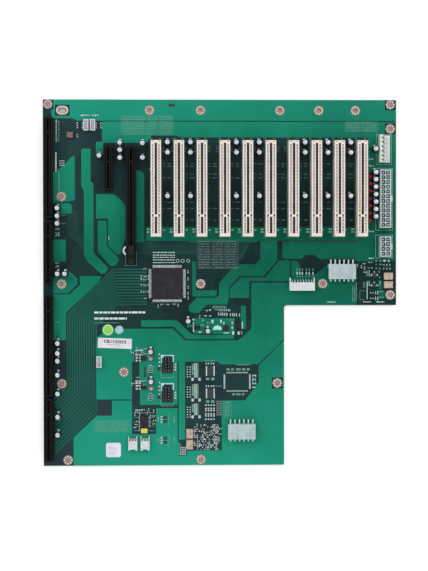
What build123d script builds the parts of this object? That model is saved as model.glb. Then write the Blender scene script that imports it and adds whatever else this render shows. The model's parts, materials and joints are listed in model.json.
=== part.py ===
import os

from build123d import *

os.makedirs("parts", exist_ok=True)

# Heights above the bench
peg_reach = 1.5
board_thickness = 2.0
copper_thickness = 0.07
board_bottom = peg_reach
board_top = board_bottom + board_thickness
seat = board_top + copper_thickness

# Long expansion slots, ten in a row across the board
slot_count = 10
slot_pitch = 20.32
slot_length = 84.84
slot_width = 9.1
slot_height = 14.5
slot_row_from_left = 100.45
slot_row_to_right = 31.67
slot_end_from_top = 37.2
slot_end_wall = 2.2
slot_foot_wall = 2.7
slot_channel_width = 2.0
slot_channel_depth = 9.0
slot_lead_in = 0.45
slot_key_from_end = 66.5
slot_key_width = 1.9
slot_window_offset = 2.75
slot_window_width = 1.25
slot_window_depth = 1.2
slot_window_end = 0.8

# Edge slots for the host card and for the two serial lane cards
edge_slot_width = 7.7
edge_slot_height = 11.25
edge_channel_width = 1.9
edge_channel_depth = 8.0
edge_end_wall = 1.6
edge_key_from_end = 13.9
edge_key_width = 1.8
edge_window_offset = 2.35
edge_window_width = 0.85
edge_window_depth = 1.0
long_edge_slot = 89.0
medium_edge_slot = 56.0
short_edge_slot = 39.0
host_slot_from_left = 5.2
host_top_margin = 16.5
host_pair_gap = 2.4
host_group_gap = 10.1
host_bottom_margin = 4.6
short_slot_from_left = 58.15
lane_slot_end_from_top = 42.1

# Locating pegs under every slot, and their holes in the board
peg_radius = 1.15
peg_clearance = 0.12
peg_sides = 6
peg_from_end = 6.0
peg_copper_gap = 0.5

# Retaining lever at the foot of the long lane slot
bracket_length = 15.4
bracket_base = 0.8
ear_thickness = 1.0
ear_reach = 9.0
ear_height = 8.6
pivot_from_slot = 6.0
pivot_height = 5.2
trunnion_radius = 1.0
trunnion_clearance = 0.06
lever_side_gap = 0.2
lever_hub_radius = 2.4
lever_arm = 3.0
hook_reach = 7.6
hook_gap = 0.5
hook_thickness = 1.6
thumb_reach = 9.2
thumb_thickness = 1.9
thumb_rib = 1.2

# Board outline: a rectangle with its lower right corner cut away
board_width = slot_row_from_left + (slot_count - 1) * slot_pitch + slot_row_to_right
host_slots = (long_edge_slot, medium_edge_slot, long_edge_slot, medium_edge_slot)
host_gaps = (host_pair_gap, host_group_gap, host_pair_gap)
board_height = host_top_margin + sum(host_slots) + sum(host_gaps) + host_bottom_margin
lower_width = 214.45
corner_radius = 0.8
notch_radius = 2.5
left = -board_width / 2
right = board_width / 2
top = board_height / 2
bottom = -board_height / 2
lower_right = left + lower_width

# Square pin power headers down the right edge
power_pitch = 4.2
power_cell = 3.5
power_cell_clip = 0.9
power_cell_depth = 9.0
power_wall = 0.6
power_end_wall = 0.6
power_height = 12.8
power_pin = 1.1
power_pin_below_rim = 1.6
power_from_right = 11.0
main_pairs = 12
processor_pairs = 4
latch_width = 5.2
latch_reach = 1.3
latch_height = 3.0
latch_from_seat = 7.5
headers_from_top = 31.9
header_gap = 6.7
processor_gap = 7.7
below_headers = 43.2

# Open headers of the 3.96 pitch kind, one upright and two lying down
wide_pitch = 3.96
wide_pins = 6
wide_end = 2.2
wide_pin = 1.14
wide_base_width = 10.2
wide_base_height = 3.2
wide_wall = 2.6
wide_relief = 1.1
wide_relief_width = 1.5
wide_wall_height = 11.6
wide_pin_height = 12.6
wide_pin_from_wall = 4.4
angled_height = 9.5
angled_wall = 3.2
angled_plate = 1.6
angled_plate_reach = 10.0
angled_panel = 4.6
angled_panel_width = 2.0
angled_panel_depth = 0.4
angled_panel_rim = 0.8
angled_pin_height = 5.2
angled_pin_ahead = 2.2
angled_pin_behind = 3.4

# Small shrouded headers
signal_pins_count = 8
signal_pitch = 2.5
signal_end = 2.45
signal_depth = 7.4
signal_arm = 4.2
signal_height = 6.0
signal_wall = 0.9
signal_pin = 0.64
fan_pins_count = 3
fan_pitch = 2.5
fan_end = 1.45
fan_depth = 8.2
fan_arm = 4.4
fan_height = 4.8
fan_wall = 0.7
fan_prong = 2.2
fan_notch = 0.9
fan_notch_width = 5.2
fan_from_foot = 13.9
fan_pin = 0.5
wafer_pins_count = 4
wafer_pitch = 2.0
wafer_end = 1.95
wafer_width = 4.5
wafer_height = 6.0
wafer_wall = 0.65
wafer_depth = 3.2
jumper_rows = 5
jumper_pitch = 2.54
jumper_base_height = 2.54
jumper_clip = 0.6
jumper_pin = 0.64
jumper_pin_height = 8.5

# Round capacitors and lamps
can_radius = 2.5
can_sides = 8
can_height = 11.0
lamp_radius = 1.9
lamp_sides = 6
lamp_flange = 0.4
lamp_flange_height = 1.0
lamp_height = 5.4
lamp_shoulder = 0.9

# Chips and blocks
bridge_side = 28.0
bridge_height = 3.4
bridge_standoff = 0.3
bridge_chamfer = 0.5
driver_width = 7.5
driver_length = 10.3
driver_height = 2.3
block_height = 2.2
inductor_height = 2.8
regulator_height = 1.6
block_bevel = 0.2
label_thickness = 0.12
label_corner = 1.2
code_label_corner = 0.3
dot_sides = 16

# Mounting holes
hole_radius = 2.0
pad_radius = 3.9
pad_copper_gap = 0.7
pad_sides = 6
long_hole = 7.0
long_pad = 11.6
corner_clear = 9.8


def from_left(across, down):
    return (left + across, top - down)


def from_right(across, down):
    return (right - across, top - down)


def from_base(across, up):
    return (left + across, bottom + up)


# Stacking down the right edge sets how far the upper part of the board reaches
wide_length = (wide_pins - 1) * wide_pitch + 2 * wide_end
main_length = main_pairs * power_pitch + 2 * power_end_wall
processor_length = processor_pairs * power_pitch + 2 * power_end_wall
aux_y = top - headers_from_top - wide_length / 2
main_y = aux_y - wide_length / 2 - header_gap - main_length / 2
processor_y = main_y - main_length / 2 - processor_gap - processor_length / 2
power_x = right - power_from_right
arm_bottom = processor_y - processor_length / 2 - below_headers
arm_drop = top - arm_bottom


def from_arm(across, up):
    return (right - across, arm_bottom + up)


def from_foot(across, up):
    return (lower_right - across, bottom + up)


# Places of the slots
slot_x = [left + slot_row_from_left + number * slot_pitch for number in range(slot_count)]
slot_y = top - slot_end_from_top - slot_length / 2
host_x = left + host_slot_from_left
short_x = left + short_slot_from_left
lane_x = short_x + slot_pitch
lane_end_y = top - lane_slot_end_from_top
host_ends = []
next_end = top - host_top_margin
for length, gap in zip(host_slots, host_gaps + (host_bottom_margin,)):
    host_ends.append(next_end)
    next_end -= length + gap


def peg_places(x, end_y, length):
    return [(x, end_y - peg_from_end), (x, end_y - length + peg_from_end)]


all_pegs = []
for x in slot_x:
    all_pegs += peg_places(x, slot_y + slot_length / 2, slot_length)
for end_y, length in zip(host_ends, host_slots):
    all_pegs += peg_places(host_x, end_y, length)
all_pegs += peg_places(short_x, lane_end_y, short_edge_slot)
all_pegs += peg_places(lane_x, lane_end_y, long_edge_slot)

# Places of the mounting holes: left column, top row, middle row, right column and foot
hole_row_top = 9.4
hole_row_foot = 5.0
hole_column_left = 16.2
hole_column_right = 5.2
hole_places = [
    from_left(4.4, 4.2),
    from_left(94.6, hole_row_top),
    from_left(140.0, hole_row_top),
    from_right(104.1, hole_row_top),
    from_right(69.3, hole_row_top),
    from_right(36.5, hole_row_top),
    from_right(hole_column_right, 4.2),
    from_right(hole_column_right, 25.7),
    from_left(hole_column_left, 86.2),
    from_left(hole_column_left, 164.0),
    from_left(140.0, 164.0),
    from_arm(65.8, 19.3),
    from_arm(hole_column_right, 9.1),
    from_left(71.4, 242.6),
    from_left(hole_column_left, 252.8),
    from_foot(6.0, 73.2),
    from_base(21.7, hole_row_foot),
    from_base(140.2, hole_row_foot),
]
bare_square_places = [
    hole_places[0],
    hole_places[6],
    hole_places[7],
    hole_places[12],
    hole_places[15],
]
long_hole_place = from_left(17.2, 9.5)

# Outline of the laminate
with BuildSketch() as outline:
    with BuildLine():
        Polyline(
            (left, bottom),
            (lower_right, bottom),
            (lower_right, arm_bottom),
            (right, arm_bottom),
            (right, top),
            (left, top),
            close=True,
        )
    make_face()
    notch = outline.vertices().sort_by_distance((lower_right, arm_bottom, 0))[0]
    corners = outline.vertices().sort_by_distance((lower_right, arm_bottom, 0))[1:]
    fillet(notch, notch_radius)
    fillet(corners, corner_radius)

# Circuit board
with BuildPart() as circuit_board:
    with BuildSketch(Plane.XY.offset(board_bottom)):
        add(outline.sketch)
        with Locations(*hole_places):
            Circle(hole_radius, mode=Mode.SUBTRACT)
        with Locations(long_hole_place):
            SlotOverall(long_hole, 2 * hole_radius, mode=Mode.SUBTRACT)
        with Locations(*all_pegs):
            RegularPolygon(peg_radius + peg_clearance, peg_sides, mode=Mode.SUBTRACT)
    extrude(amount=board_thickness)
circuit_board.part.label = "circuit_board"
export_step(circuit_board.part, "parts/circuit_board.step")

# Copper areas that show as lighter green fields, each measured from the top left corner
copper_areas = [
    [(7.5, 0), (board_width, 0), (board_width, 18.7), (30, 18.7), (26, 16.7), (9.5, 16.7)]
    + [(7.5, 14.5)],
    [(52.5, 19.6), (board_width, 19.6), (board_width, 33.5), (122, 33.5), (118, 32), (97, 32)]
    + [(91.5, 38.5), (52.5, 38.5)],
    [(47, 37.5), (53.5, 37.5), (53.5, 50), (47, 50)],
    [(290, 33), (board_width, 33), (board_width, 144), (278.5, 144), (278.5, 113), (290, 113)],
    [(91.5, 113.2), (291, 113.2), (291, 125.2), (194, 125.2), (188.5, 127), (130.5, 127)]
    + [(129, 125.7), (91.5, 125.7)],
    [(213, 126.3), (280.5, 126.3), (280.5, 142), (246.5, 142), (241.5, 138.4), (233.5, 138.4)]
    + [(230.5, 141.7), (215, 141.7), (213, 139.5)],
    [(9, 65), (13.5, 62.5), (19.5, 57.5), (26, 50.2), (28.2, 50.7), (28.2, 89), (26.5, 90), (9, 92)],
    [(15.5, 92), (23.5, 92), (25.5, 94), (25.5, 101), (24, 101.5), (15.5, 101.5)],
    [(9, 124.5), (20, 124.5), (20, 144), (9, 144)],
    [(34, 44.5), (35.5, 43.5), (41, 43.5), (42.2, 44.5), (42.2, 72.5), (44.7, 75), (44.7, 136.5)]
    + [(56.5, 148.5), (57.5, 151), (55, 154.5), (51.5, 155.2), (38.5, 143), (36.2, 138)]
    + [(36.2, 81), (34, 77.5)],
    [(47, 84), (62, 84), (64.5, 85), (72, 92.5), (73.2, 95), (73.2, 122), (69.5, 134)]
    + [(68.5, 137.5), (65.5, 137.8), (57.7, 129.5), (57.7, 105.8), (47, 105.8)],
    [(48.5, 107.7), (55.5, 107.7), (56.5, 108.5), (56.5, 130), (66.5, 140.5), (67.2, 142.5)]
    + [(64.5, 147), (62, 148.2), (59.5, 147.5), (49.7, 137), (48.5, 135)],
    [(82.9, 63), (86.5, 63.2), (89.5, 66), (89.8, 68), (89.8, 126.7), (82.9, 126.7)],
    [(9, 157), (18, 153), (24, 153), (30, 159), (30.5, 164), (22, 172.2), (9, 172.2)],
    [(32.5, 157), (51.5, 157), (49.5, 162), (20.8, 189), (20, 191), (20, 214), (9, 214)]
    + [(9, 173.2), (23, 173.2), (32.5, 165)],
    [(193.5, 124), (208.5, 124), (208.5, 142.5), (207, 145), (196.5, 157), (175, 157)]
    + [(165.5, 166.8), (165, 168), (165, 177), (163.5, 182.5), (145.5, 182.5), (138.5, 189.8)]
    + [(131.5, 189.8), (129.5, 188), (129.5, 183.5), (136.5, 176.4), (154, 176.4), (156.5, 174)]
    + [(156.5, 163), (167.5, 151), (175, 146.6), (189, 146.6), (193.5, 141.5)],
    [(132.5, 144), (135.8, 144), (135.8, 169.8), (154.3, 169.8), (154.3, 173.3), (152.5, 175.2)]
    + [(132.5, 175.2)],
    [(175.8, 158.4), (197.3, 158.4), (210.3, 143.3), (219.9, 143.3), (219.9, 161.6)]
    + [(184.5, 161.6), (183.3, 162.7), (183.3, 176.6), (166, 176.6), (166, 168.2)],
    [(221.2, 143.3), (226.5, 144), (228.5, 147), (230.5, 157), (221.2, 157)],
    [(87, 196.3), (117.5, 196.3), (120.5, 198), (130.5, 208), (133.5, 209.5), (169.5, 209.5)]
    + [(169.5, 213.3), (127, 213.3), (116, 202.2), (87, 202.2)],
    [(47, 212), (57, 204), (115.2, 204), (126, 214.5), (126, 233.5), (78.7, 233.5), (78.7, 267)]
    + [(47, 267)],
    [(125, 214.5), (173.5, 214.5), (185.2, 204.5), (185.2, 163), (221, 163), (221, 158)]
    + [(243, 155.5), (254, 147), (279.5, 147), (279.5, arm_drop), (214, arm_drop), (214, 213)]
    + [(209.5, 218.5), (191, 236), (158, 236), (155, 233.5), (125, 233.5)],
    [(lower_width, 214.4), (lower_width, board_height), (158.7, board_height)]
    + [(158.7, 268.3), (179.7, 268.3), (191.8, 252), (191.8, 236.7)],
    [(26.5, board_height), (26.5, board_height - 25), (47, 281.5), (60.5, 281.5), (60.5, 268)]
    + [(78.7, 268), (78.7, board_height - 28), (100, board_height - 28), (100, 275)]
    + [(119.3, 275), (119.3, board_height - 22), (126, board_height - 13)]
    + [(159, board_height - 13), (159, board_height)],
    [(85, 233), (119.3, 233), (119.3, 272), (86, 272)],
    [(120.3, 233), (126, 233), (126, 303), (120.3, 303)],
]
bare_areas = [
    [(105, 227), (116, 227), (116, 243.5), (105, 243.5)],
    [(105, 252.5), (116, 252.5), (116, 270), (105, 270)],
]


def board_points(area):
    return [from_left(across, down) for across, down in area]


# Copper areas, cleared round the board edge, the pads and the pegs
peg_clear = 2 * (peg_radius + peg_copper_gap)
with BuildPart() as copper_pours:
    with BuildSketch(Plane.XY.offset(board_top)):
        for area in copper_areas:
            with BuildLine():
                Polyline(*board_points(area), close=True)
            make_face()
        for area in bare_areas:
            with BuildLine():
                Polyline(*board_points(area), close=True)
            make_face(mode=Mode.SUBTRACT)
        with Locations(*hole_places):
            RegularPolygon(pad_radius + pad_copper_gap, pad_sides, mode=Mode.SUBTRACT)
        with Locations(*bare_square_places):
            Rectangle(corner_clear, corner_clear, mode=Mode.SUBTRACT)
        with Locations(long_hole_place):
            Rectangle(long_pad + 2 * pad_copper_gap, corner_clear, mode=Mode.SUBTRACT)
        with Locations(*all_pegs):
            Rectangle(peg_clear, peg_clear, mode=Mode.SUBTRACT)
        add(outline.sketch, mode=Mode.INTERSECT)
    extrude(amount=copper_thickness)
copper_pours.part.label = "copper_pours"
export_step(copper_pours.part, "parts/copper_pours.step")


# A slot body stands on the board with two pegs through it
def slot_body(x, end_y, length, width, height):
    with BuildPart() as body:
        with BuildSketch(Plane.XY.offset(seat)):
            with Locations((x, end_y - length / 2)):
                Rectangle(width, length)
        extrude(amount=height)
        with BuildSketch(Plane.XY.offset(seat)):
            with Locations(*peg_places(x, end_y, length)):
                RegularPolygon(peg_radius, peg_sides)
        extrude(amount=-seat)
    return body.part


# Long expansion slots
def expansion_slot(x):
    end_y = slot_y + slot_length / 2
    foot_y = end_y - slot_length
    key_y = end_y - slot_key_from_end
    rim = seat + slot_height
    channel_high = end_y - slot_end_wall
    channel_low = foot_y + slot_foot_wall
    upper = (channel_high, key_y + slot_key_width / 2)
    lower = (key_y - slot_key_width / 2, channel_low)
    window_high = end_y - slot_window_end
    window_middle = (window_high + channel_low) / 2
    with BuildPart() as slot:
        add(slot_body(x, end_y, slot_length, slot_width, slot_height))
        for high, low in (upper, lower):
            with BuildSketch(Plane.XY.offset(rim)):
                with Locations((x, (high + low) / 2)):
                    Rectangle(slot_channel_width, high - low)
            extrude(amount=-slot_channel_depth, mode=Mode.SUBTRACT)
        with BuildSketch(Plane.XY.offset(rim)):
            for side in (-1, 1):
                with Locations((x + side * slot_window_offset, window_middle)):
                    Rectangle(slot_window_width, window_high - channel_low)
        extrude(amount=-slot_window_depth, mode=Mode.SUBTRACT)
        rim_edges = slot.edges().filter_by(Axis.Y).filter_by_position(Axis.Z, rim - 0.01, rim + 0.01)
        half = slot_channel_width / 2
        mouth = rim_edges.filter_by_position(Axis.X, x - half - 0.01, x + half + 0.01)
        chamfer(mouth, slot_lead_in)
    return slot.part


for number, x in enumerate(slot_x):
    with BuildPart() as expansion:
        add(expansion_slot(x))
    expansion.part.label = f"expansion_slot_{number + 1}"
    export_step(expansion.part, f"parts/expansion_slot_{number + 1}.step")


# Edge slots: a shorter body with the same channel and window rows
def edge_slot(x, end_y, length):
    rim = seat + edge_slot_height
    key_y = end_y - edge_key_from_end
    channel_high = end_y - edge_end_wall
    channel_low = end_y - length + edge_end_wall
    upper = (channel_high, key_y + edge_key_width / 2)
    lower = (key_y - edge_key_width / 2, channel_low)
    with BuildPart() as slot:
        add(slot_body(x, end_y, length, edge_slot_width, edge_slot_height))
        for high, low in (upper, lower):
            with BuildSketch(Plane.XY.offset(rim)):
                with Locations((x, (high + low) / 2)):
                    Rectangle(edge_channel_width, high - low)
            extrude(amount=-edge_channel_depth, mode=Mode.SUBTRACT)
        with BuildSketch(Plane.XY.offset(rim)):
            for side in (-1, 1):
                with Locations((x + side * edge_window_offset, end_y - length / 2)):
                    Rectangle(edge_window_width, channel_high - channel_low)
        extrude(amount=-edge_window_depth, mode=Mode.SUBTRACT)
    return slot.part


for number, (end_y, length) in enumerate(zip(host_ends, host_slots)):
    with BuildPart() as host:
        add(edge_slot(host_x, end_y, length))
    host.part.label = f"host_slot_{number + 1}"
    export_step(host.part, f"parts/host_slot_{number + 1}.step")

with BuildPart() as short_lane_slot:
    add(edge_slot(short_x, lane_end_y, short_edge_slot))
short_lane_slot.part.label = "short_lane_slot"
export_step(short_lane_slot.part, "parts/short_lane_slot.step")

# The long lane slot carries a bracket with two ears for the retaining lever
lever_foot_y = lane_end_y - long_edge_slot
pivot_y = lever_foot_y - pivot_from_slot
pivot_z = seat + pivot_height
ear_inside = edge_slot_width / 2 - ear_thickness
with BuildPart() as long_lane_slot:
    add(edge_slot(lane_x, lane_end_y, long_edge_slot))
    with BuildSketch(Plane.XY.offset(seat)):
        with Locations((lane_x, lever_foot_y - bracket_length / 2)):
            Rectangle(edge_slot_width, bracket_length)
    extrude(amount=bracket_base)
    with BuildSketch(Plane.YZ.offset(lane_x + ear_inside)):
        with BuildLine():
            Polyline(
                (lever_foot_y, seat),
                (lever_foot_y, seat + ear_height),
                (lever_foot_y - ear_reach / 2, seat + ear_height),
                (lever_foot_y - ear_reach, seat + pivot_height),
                (lever_foot_y - ear_reach, seat),
                close=True,
            )
        make_face()
        with Locations((pivot_y, pivot_z)):
            Circle(trunnion_radius + trunnion_clearance, mode=Mode.SUBTRACT)
    ear = extrude(amount=ear_thickness)
    mirror(ear, about=Plane.YZ.offset(lane_x))
long_lane_slot.part.label = "long_lane_slot"
export_step(long_lane_slot.part, "parts/long_lane_slot.step")

# Retaining lever: a hub on trunnions, an arm with a hook over the slot, and a thumb pad
lever_half = ear_inside - lever_side_gap
hook_bottom = seat + edge_slot_height + hook_gap
with BuildPart() as retaining_lever:
    with BuildSketch(Plane.YZ.offset(lane_x - lever_half)):
        with Locations((pivot_y, pivot_z)):
            Circle(lever_hub_radius)
        with BuildLine():
            Polyline(
                (pivot_y - lever_arm / 2, pivot_z),
                (pivot_y - lever_arm / 2, hook_bottom + hook_thickness),
                (pivot_y + hook_reach - hook_thickness, hook_bottom + hook_thickness),
                (pivot_y + hook_reach, hook_bottom),
                (pivot_y + lever_arm / 2, hook_bottom),
                (pivot_y + lever_arm / 2, pivot_z),
                close=True,
            )
        make_face()
        with BuildLine():
            Polyline(
                (pivot_y, pivot_z),
                (pivot_y - thumb_reach, pivot_z + thumb_rib),
                (pivot_y - thumb_reach, pivot_z + thumb_rib + thumb_thickness),
                (pivot_y, pivot_z + thumb_thickness),
                close=True,
            )
        make_face()
    extrude(amount=2 * lever_half)
    with BuildSketch(Plane.YZ.offset(lane_x - edge_slot_width / 2)):
        with Locations((pivot_y, pivot_z)):
            Circle(trunnion_radius)
    extrude(amount=edge_slot_width)
retaining_lever.part.label = "retaining_lever"
export_step(retaining_lever.part, "parts/retaining_lever.step")


# Straight square pins, each standing on the floor of its housing
def upright_pins(places, thickness, foot, tip):
    with BuildPart() as pins:
        with BuildSketch(Plane.XY.offset(foot)):
            with Locations(*places):
                Rectangle(thickness, thickness)
        extrude(amount=tip - foot)
    return pins.part


# Power headers: two columns of square cells, every other pair with clipped corners
def power_places(y, pairs):
    rows = [y + (pairs - 1) * power_pitch / 2 - row * power_pitch for row in range(pairs)]
    return [(power_x + side * power_pitch / 2, row_y) for row_y in rows for side in (-1, 1)]


def power_header(y, pairs):
    half = power_cell / 2
    width = 2 * power_pitch + 2 * power_wall
    rim = seat + power_height
    places = power_places(y, pairs)
    clipped = [place for index, place in enumerate(places) if index % 4 in (1, 2)]
    plain = [place for place in places if place not in clipped]
    with BuildPart() as header:
        with BuildSketch(Plane.XY.offset(seat)):
            with Locations((power_x, y)):
                Rectangle(width, pairs * power_pitch + 2 * power_end_wall)
        extrude(amount=power_height)
        with BuildSketch(Plane.XY.offset(rim)):
            with Locations(*plain):
                Rectangle(power_cell, power_cell)
            with Locations(*clipped):
                Polygon(
                    (-half, -half),
                    (half, -half),
                    (half, half - power_cell_clip),
                    (half - power_cell_clip, half),
                    (power_cell_clip - half, half),
                    (-half, half - power_cell_clip),
                )
        extrude(amount=-power_cell_depth, mode=Mode.SUBTRACT)
        with BuildSketch(Plane.XY.offset(seat + latch_from_seat)):
            with Locations((power_x + width / 2 + latch_reach / 2, y)):
                Rectangle(latch_reach, latch_width)
        extrude(amount=latch_height)
    return header.part


cell_floor = seat + power_height - power_cell_depth
power_tip = seat + power_height - power_pin_below_rim
power_rows = {
    "main_power": (main_y, main_pairs),
    "processor_power": (processor_y, processor_pairs),
}
for name, (y, pairs) in power_rows.items():
    with BuildPart() as header:
        add(power_header(y, pairs))
    header.part.label = f"{name}_header"
    export_step(header.part, f"parts/{name}_header.step")
    with BuildPart() as pins:
        add(upright_pins(power_places(y, pairs), power_pin, cell_floor, power_tip))
    pins.part.label = f"{name}_pins"
    export_step(pins.part, f"parts/{name}_pins.step")

# Upright six way header: a base with one tall locking wall, relieved behind each pin
aux_left = power_x - wide_base_width / 2
aux_x = aux_left + wide_pin_from_wall
aux_places = [
    (aux_x, aux_y + (wide_pins - 1) * wide_pitch / 2 - row * wide_pitch) for row in range(wide_pins)
]
with BuildPart() as auxiliary_header:
    with BuildSketch(Plane.XY.offset(seat)):
        with Locations((power_x, aux_y)):
            Rectangle(wide_base_width, wide_length)
    extrude(amount=wide_base_height)
    with BuildSketch(Plane.XY.offset(seat)):
        with Locations((aux_left + wide_wall / 2, aux_y)):
            Rectangle(wide_wall, wide_length)
    extrude(amount=wide_wall_height)
    with BuildSketch(Plane.XY.offset(seat + wide_wall_height)):
        with Locations(*[(aux_left + wide_wall - wide_relief / 2, row_y) for _, row_y in aux_places]):
            Rectangle(wide_relief, wide_relief_width)
    extrude(amount=wide_base_height - wide_wall_height, mode=Mode.SUBTRACT)
auxiliary_header.part.label = "auxiliary_header"
export_step(auxiliary_header.part, "parts/auxiliary_header.step")

with BuildPart() as auxiliary_pins:
    add(upright_pins(aux_places, wide_pin, seat + wide_base_height, seat + wide_pin_height))
auxiliary_pins.part.label = "auxiliary_pins"
export_step(auxiliary_pins.part, "parts/auxiliary_pins.step")


# A bent pin lies along Y and turns down behind its housing to the board
def bent_pins(places, thickness, height, ahead, behind, back_y):
    with BuildPart() as pins:
        for x in places:
            with BuildSketch(Plane.YZ.offset(x - thickness / 2)):
                with BuildLine():
                    Polyline(
                        (ahead, height - thickness / 2),
                        (ahead, height + thickness / 2),
                        (back_y + behind + thickness / 2, height + thickness / 2),
                        (back_y + behind + thickness / 2, seat),
                        (back_y + behind - thickness / 2, seat),
                        (back_y + behind - thickness / 2, height - thickness / 2),
                        close=True,
                    )
                make_face()
            extrude(amount=thickness)
    return pins.part


# Lying six way headers: an upright wall with a locking plate, panelled between the pins
angled_spots = (from_arm(49.3, 35.1), from_foot(38.2, 35.6))
for number, (x, wall_y) in enumerate(angled_spots):
    rows = [x + (index - (wide_pins - 1) / 2) * wide_pitch for index in range(wide_pins)]
    pin_z = seat + angled_pin_height
    plate_y = wall_y - angled_wall / 2 - angled_plate_reach
    with BuildPart() as angled:
        with BuildSketch(Plane.XY.offset(seat)):
            with Locations((x, wall_y)):
                Rectangle(wide_length, angled_wall)
        extrude(amount=angled_height)
        with BuildSketch(Plane.XY.offset(seat + angled_height)):
            with Locations((x, plate_y + angled_plate_reach / 2)):
                Rectangle(wide_length, angled_plate_reach)
        extrude(amount=-angled_plate)
        with BuildSketch(Plane.XY.offset(seat + angled_height)):
            for row in rows[:-1]:
                with Locations((row + wide_pitch / 2, plate_y + angled_panel_rim + angled_panel / 2)):
                    Rectangle(angled_panel_width, angled_panel)
        extrude(amount=-angled_panel_depth, mode=Mode.SUBTRACT)
        with BuildSketch(Plane.XZ.offset(-wall_y - angled_wall / 2)):
            with Locations(*[(row, pin_z) for row in rows]):
                Rectangle(wide_pin, wide_pin)
        extrude(amount=angled_wall, mode=Mode.SUBTRACT)
    angled.part.label = f"angled_power_header_{number + 1}"
    export_step(angled.part, f"parts/angled_power_header_{number + 1}.step")
    tip_y = plate_y - angled_pin_ahead
    back_y = wall_y + angled_wall / 2
    with BuildPart() as pins:
        add(bent_pins(rows, wide_pin, pin_z, tip_y, angled_pin_behind, back_y))
    pins.part.label = f"angled_power_pins_{number + 1}"
    export_step(pins.part, f"parts/angled_power_pins_{number + 1}.step")


# Shrouded lying header: a box open to the front with an arm behind each end
def lying_shroud(x, front_y, width, sizes, rows):
    depth, arm, height, wall, pin = sizes
    back_y = front_y + depth
    with BuildPart() as shroud:
        with BuildSketch(Plane.XY.offset(seat)):
            with Locations((x, front_y + depth / 2)):
                Rectangle(width, depth)
            for side in (-1, 1):
                with Locations((x + side * (width - wall) / 2, back_y + arm / 2)):
                    Rectangle(wall, arm)
        extrude(amount=height)
        with BuildSketch(Plane.XZ.offset(-front_y)):
            with Locations((x, seat + height / 2)):
                Rectangle(width - 2 * wall, height - 2 * wall)
        extrude(amount=wall - depth, mode=Mode.SUBTRACT)
        with BuildSketch(Plane.XZ.offset(-back_y)):
            with Locations(*[(row, seat + height / 2) for row in rows]):
                Rectangle(pin, pin)
        extrude(amount=wall, mode=Mode.SUBTRACT)
    return shroud.part


signal_place = (lower_right + 15.9, arm_bottom + 13.1)
fan_places = (from_base(79.4, fan_from_foot), from_base(90.3, fan_from_foot))
signal_sizes = (signal_depth, signal_arm, signal_height, signal_wall, signal_pin)
fan_sizes = (fan_depth, fan_arm, fan_height, fan_wall, fan_pin)
shrouds = {
    "signal": (signal_place, signal_pins_count, signal_pitch, signal_end, signal_sizes),
    "fan_1": (fan_places[0], fan_pins_count, fan_pitch, fan_end, fan_sizes),
    "fan_2": (fan_places[1], fan_pins_count, fan_pitch, fan_end, fan_sizes),
}
for name, (place, count, pitch, end, sizes) in shrouds.items():
    x, front_y = place
    depth, arm, height, wall, pin = sizes
    rows = [x + (index - (count - 1) / 2) * pitch for index in range(count)]
    width = (count - 1) * pitch + 2 * end
    with BuildPart() as shroud:
        add(lying_shroud(x, front_y, width, sizes, rows))
        if sizes is fan_sizes:
            with BuildSketch(Plane.XY.offset(seat)):
                for row in rows[:-1]:
                    with Locations((row + pitch / 2, front_y + depth + fan_prong / 2)):
                        Rectangle(wall, fan_prong)
            extrude(amount=height)
            with BuildSketch(Plane.XY.offset(seat)):
                with BuildLine():
                    Polyline(
                        (x - fan_notch_width / 2, front_y),
                        (x - fan_notch_width / 2 + fan_notch, front_y + fan_notch),
                        (x + fan_notch_width / 2 - fan_notch, front_y + fan_notch),
                        (x + fan_notch_width / 2, front_y),
                        close=True,
                    )
                make_face()
            extrude(amount=height, mode=Mode.SUBTRACT)
    shroud.part.label = f"{name}_header"
    export_step(shroud.part, f"parts/{name}_header.step")
    with BuildPart() as pins:
        add(bent_pins(rows, pin, seat + height / 2, front_y + wall, arm / 2, front_y + depth))
    pins.part.label = f"{name}_pins"
    export_step(pins.part, f"parts/{name}_pins.step")

# Upright four way wafers with an open shroud
wafer_places = (from_left(38.4, 22.9), from_left(44.3, 22.9), from_left(49.5, 233.3))
wafer_length = (wafer_pins_count - 1) * wafer_pitch + 2 * wafer_end
wafer_floor = seat + wafer_height - wafer_depth
for number, (x, y) in enumerate(wafer_places):
    with BuildPart() as wafer:
        with BuildSketch(Plane.XY.offset(seat)):
            with Locations((x, y)):
                Rectangle(wafer_width, wafer_length)
        extrude(amount=wafer_height)
        with BuildSketch(Plane.XY.offset(seat + wafer_height)):
            with Locations((x, y)):
                Rectangle(wafer_width - 2 * wafer_wall, wafer_length - 2 * wafer_wall)
        extrude(amount=-wafer_depth, mode=Mode.SUBTRACT)
    wafer.part.label = f"sensor_header_{number + 1}"
    export_step(wafer.part, f"parts/sensor_header_{number + 1}.step")

wafer_pin_places = [
    (x, y + (index - (wafer_pins_count - 1) / 2) * wafer_pitch)
    for x, y in wafer_places
    for index in range(wafer_pins_count)
]
with BuildPart() as sensor_pins:
    add(upright_pins(wafer_pin_places, fan_pin, wafer_floor, seat + wafer_height - fan_pin))
sensor_pins.part.label = "sensor_pins"
export_step(sensor_pins.part, "parts/sensor_pins.step")

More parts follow.
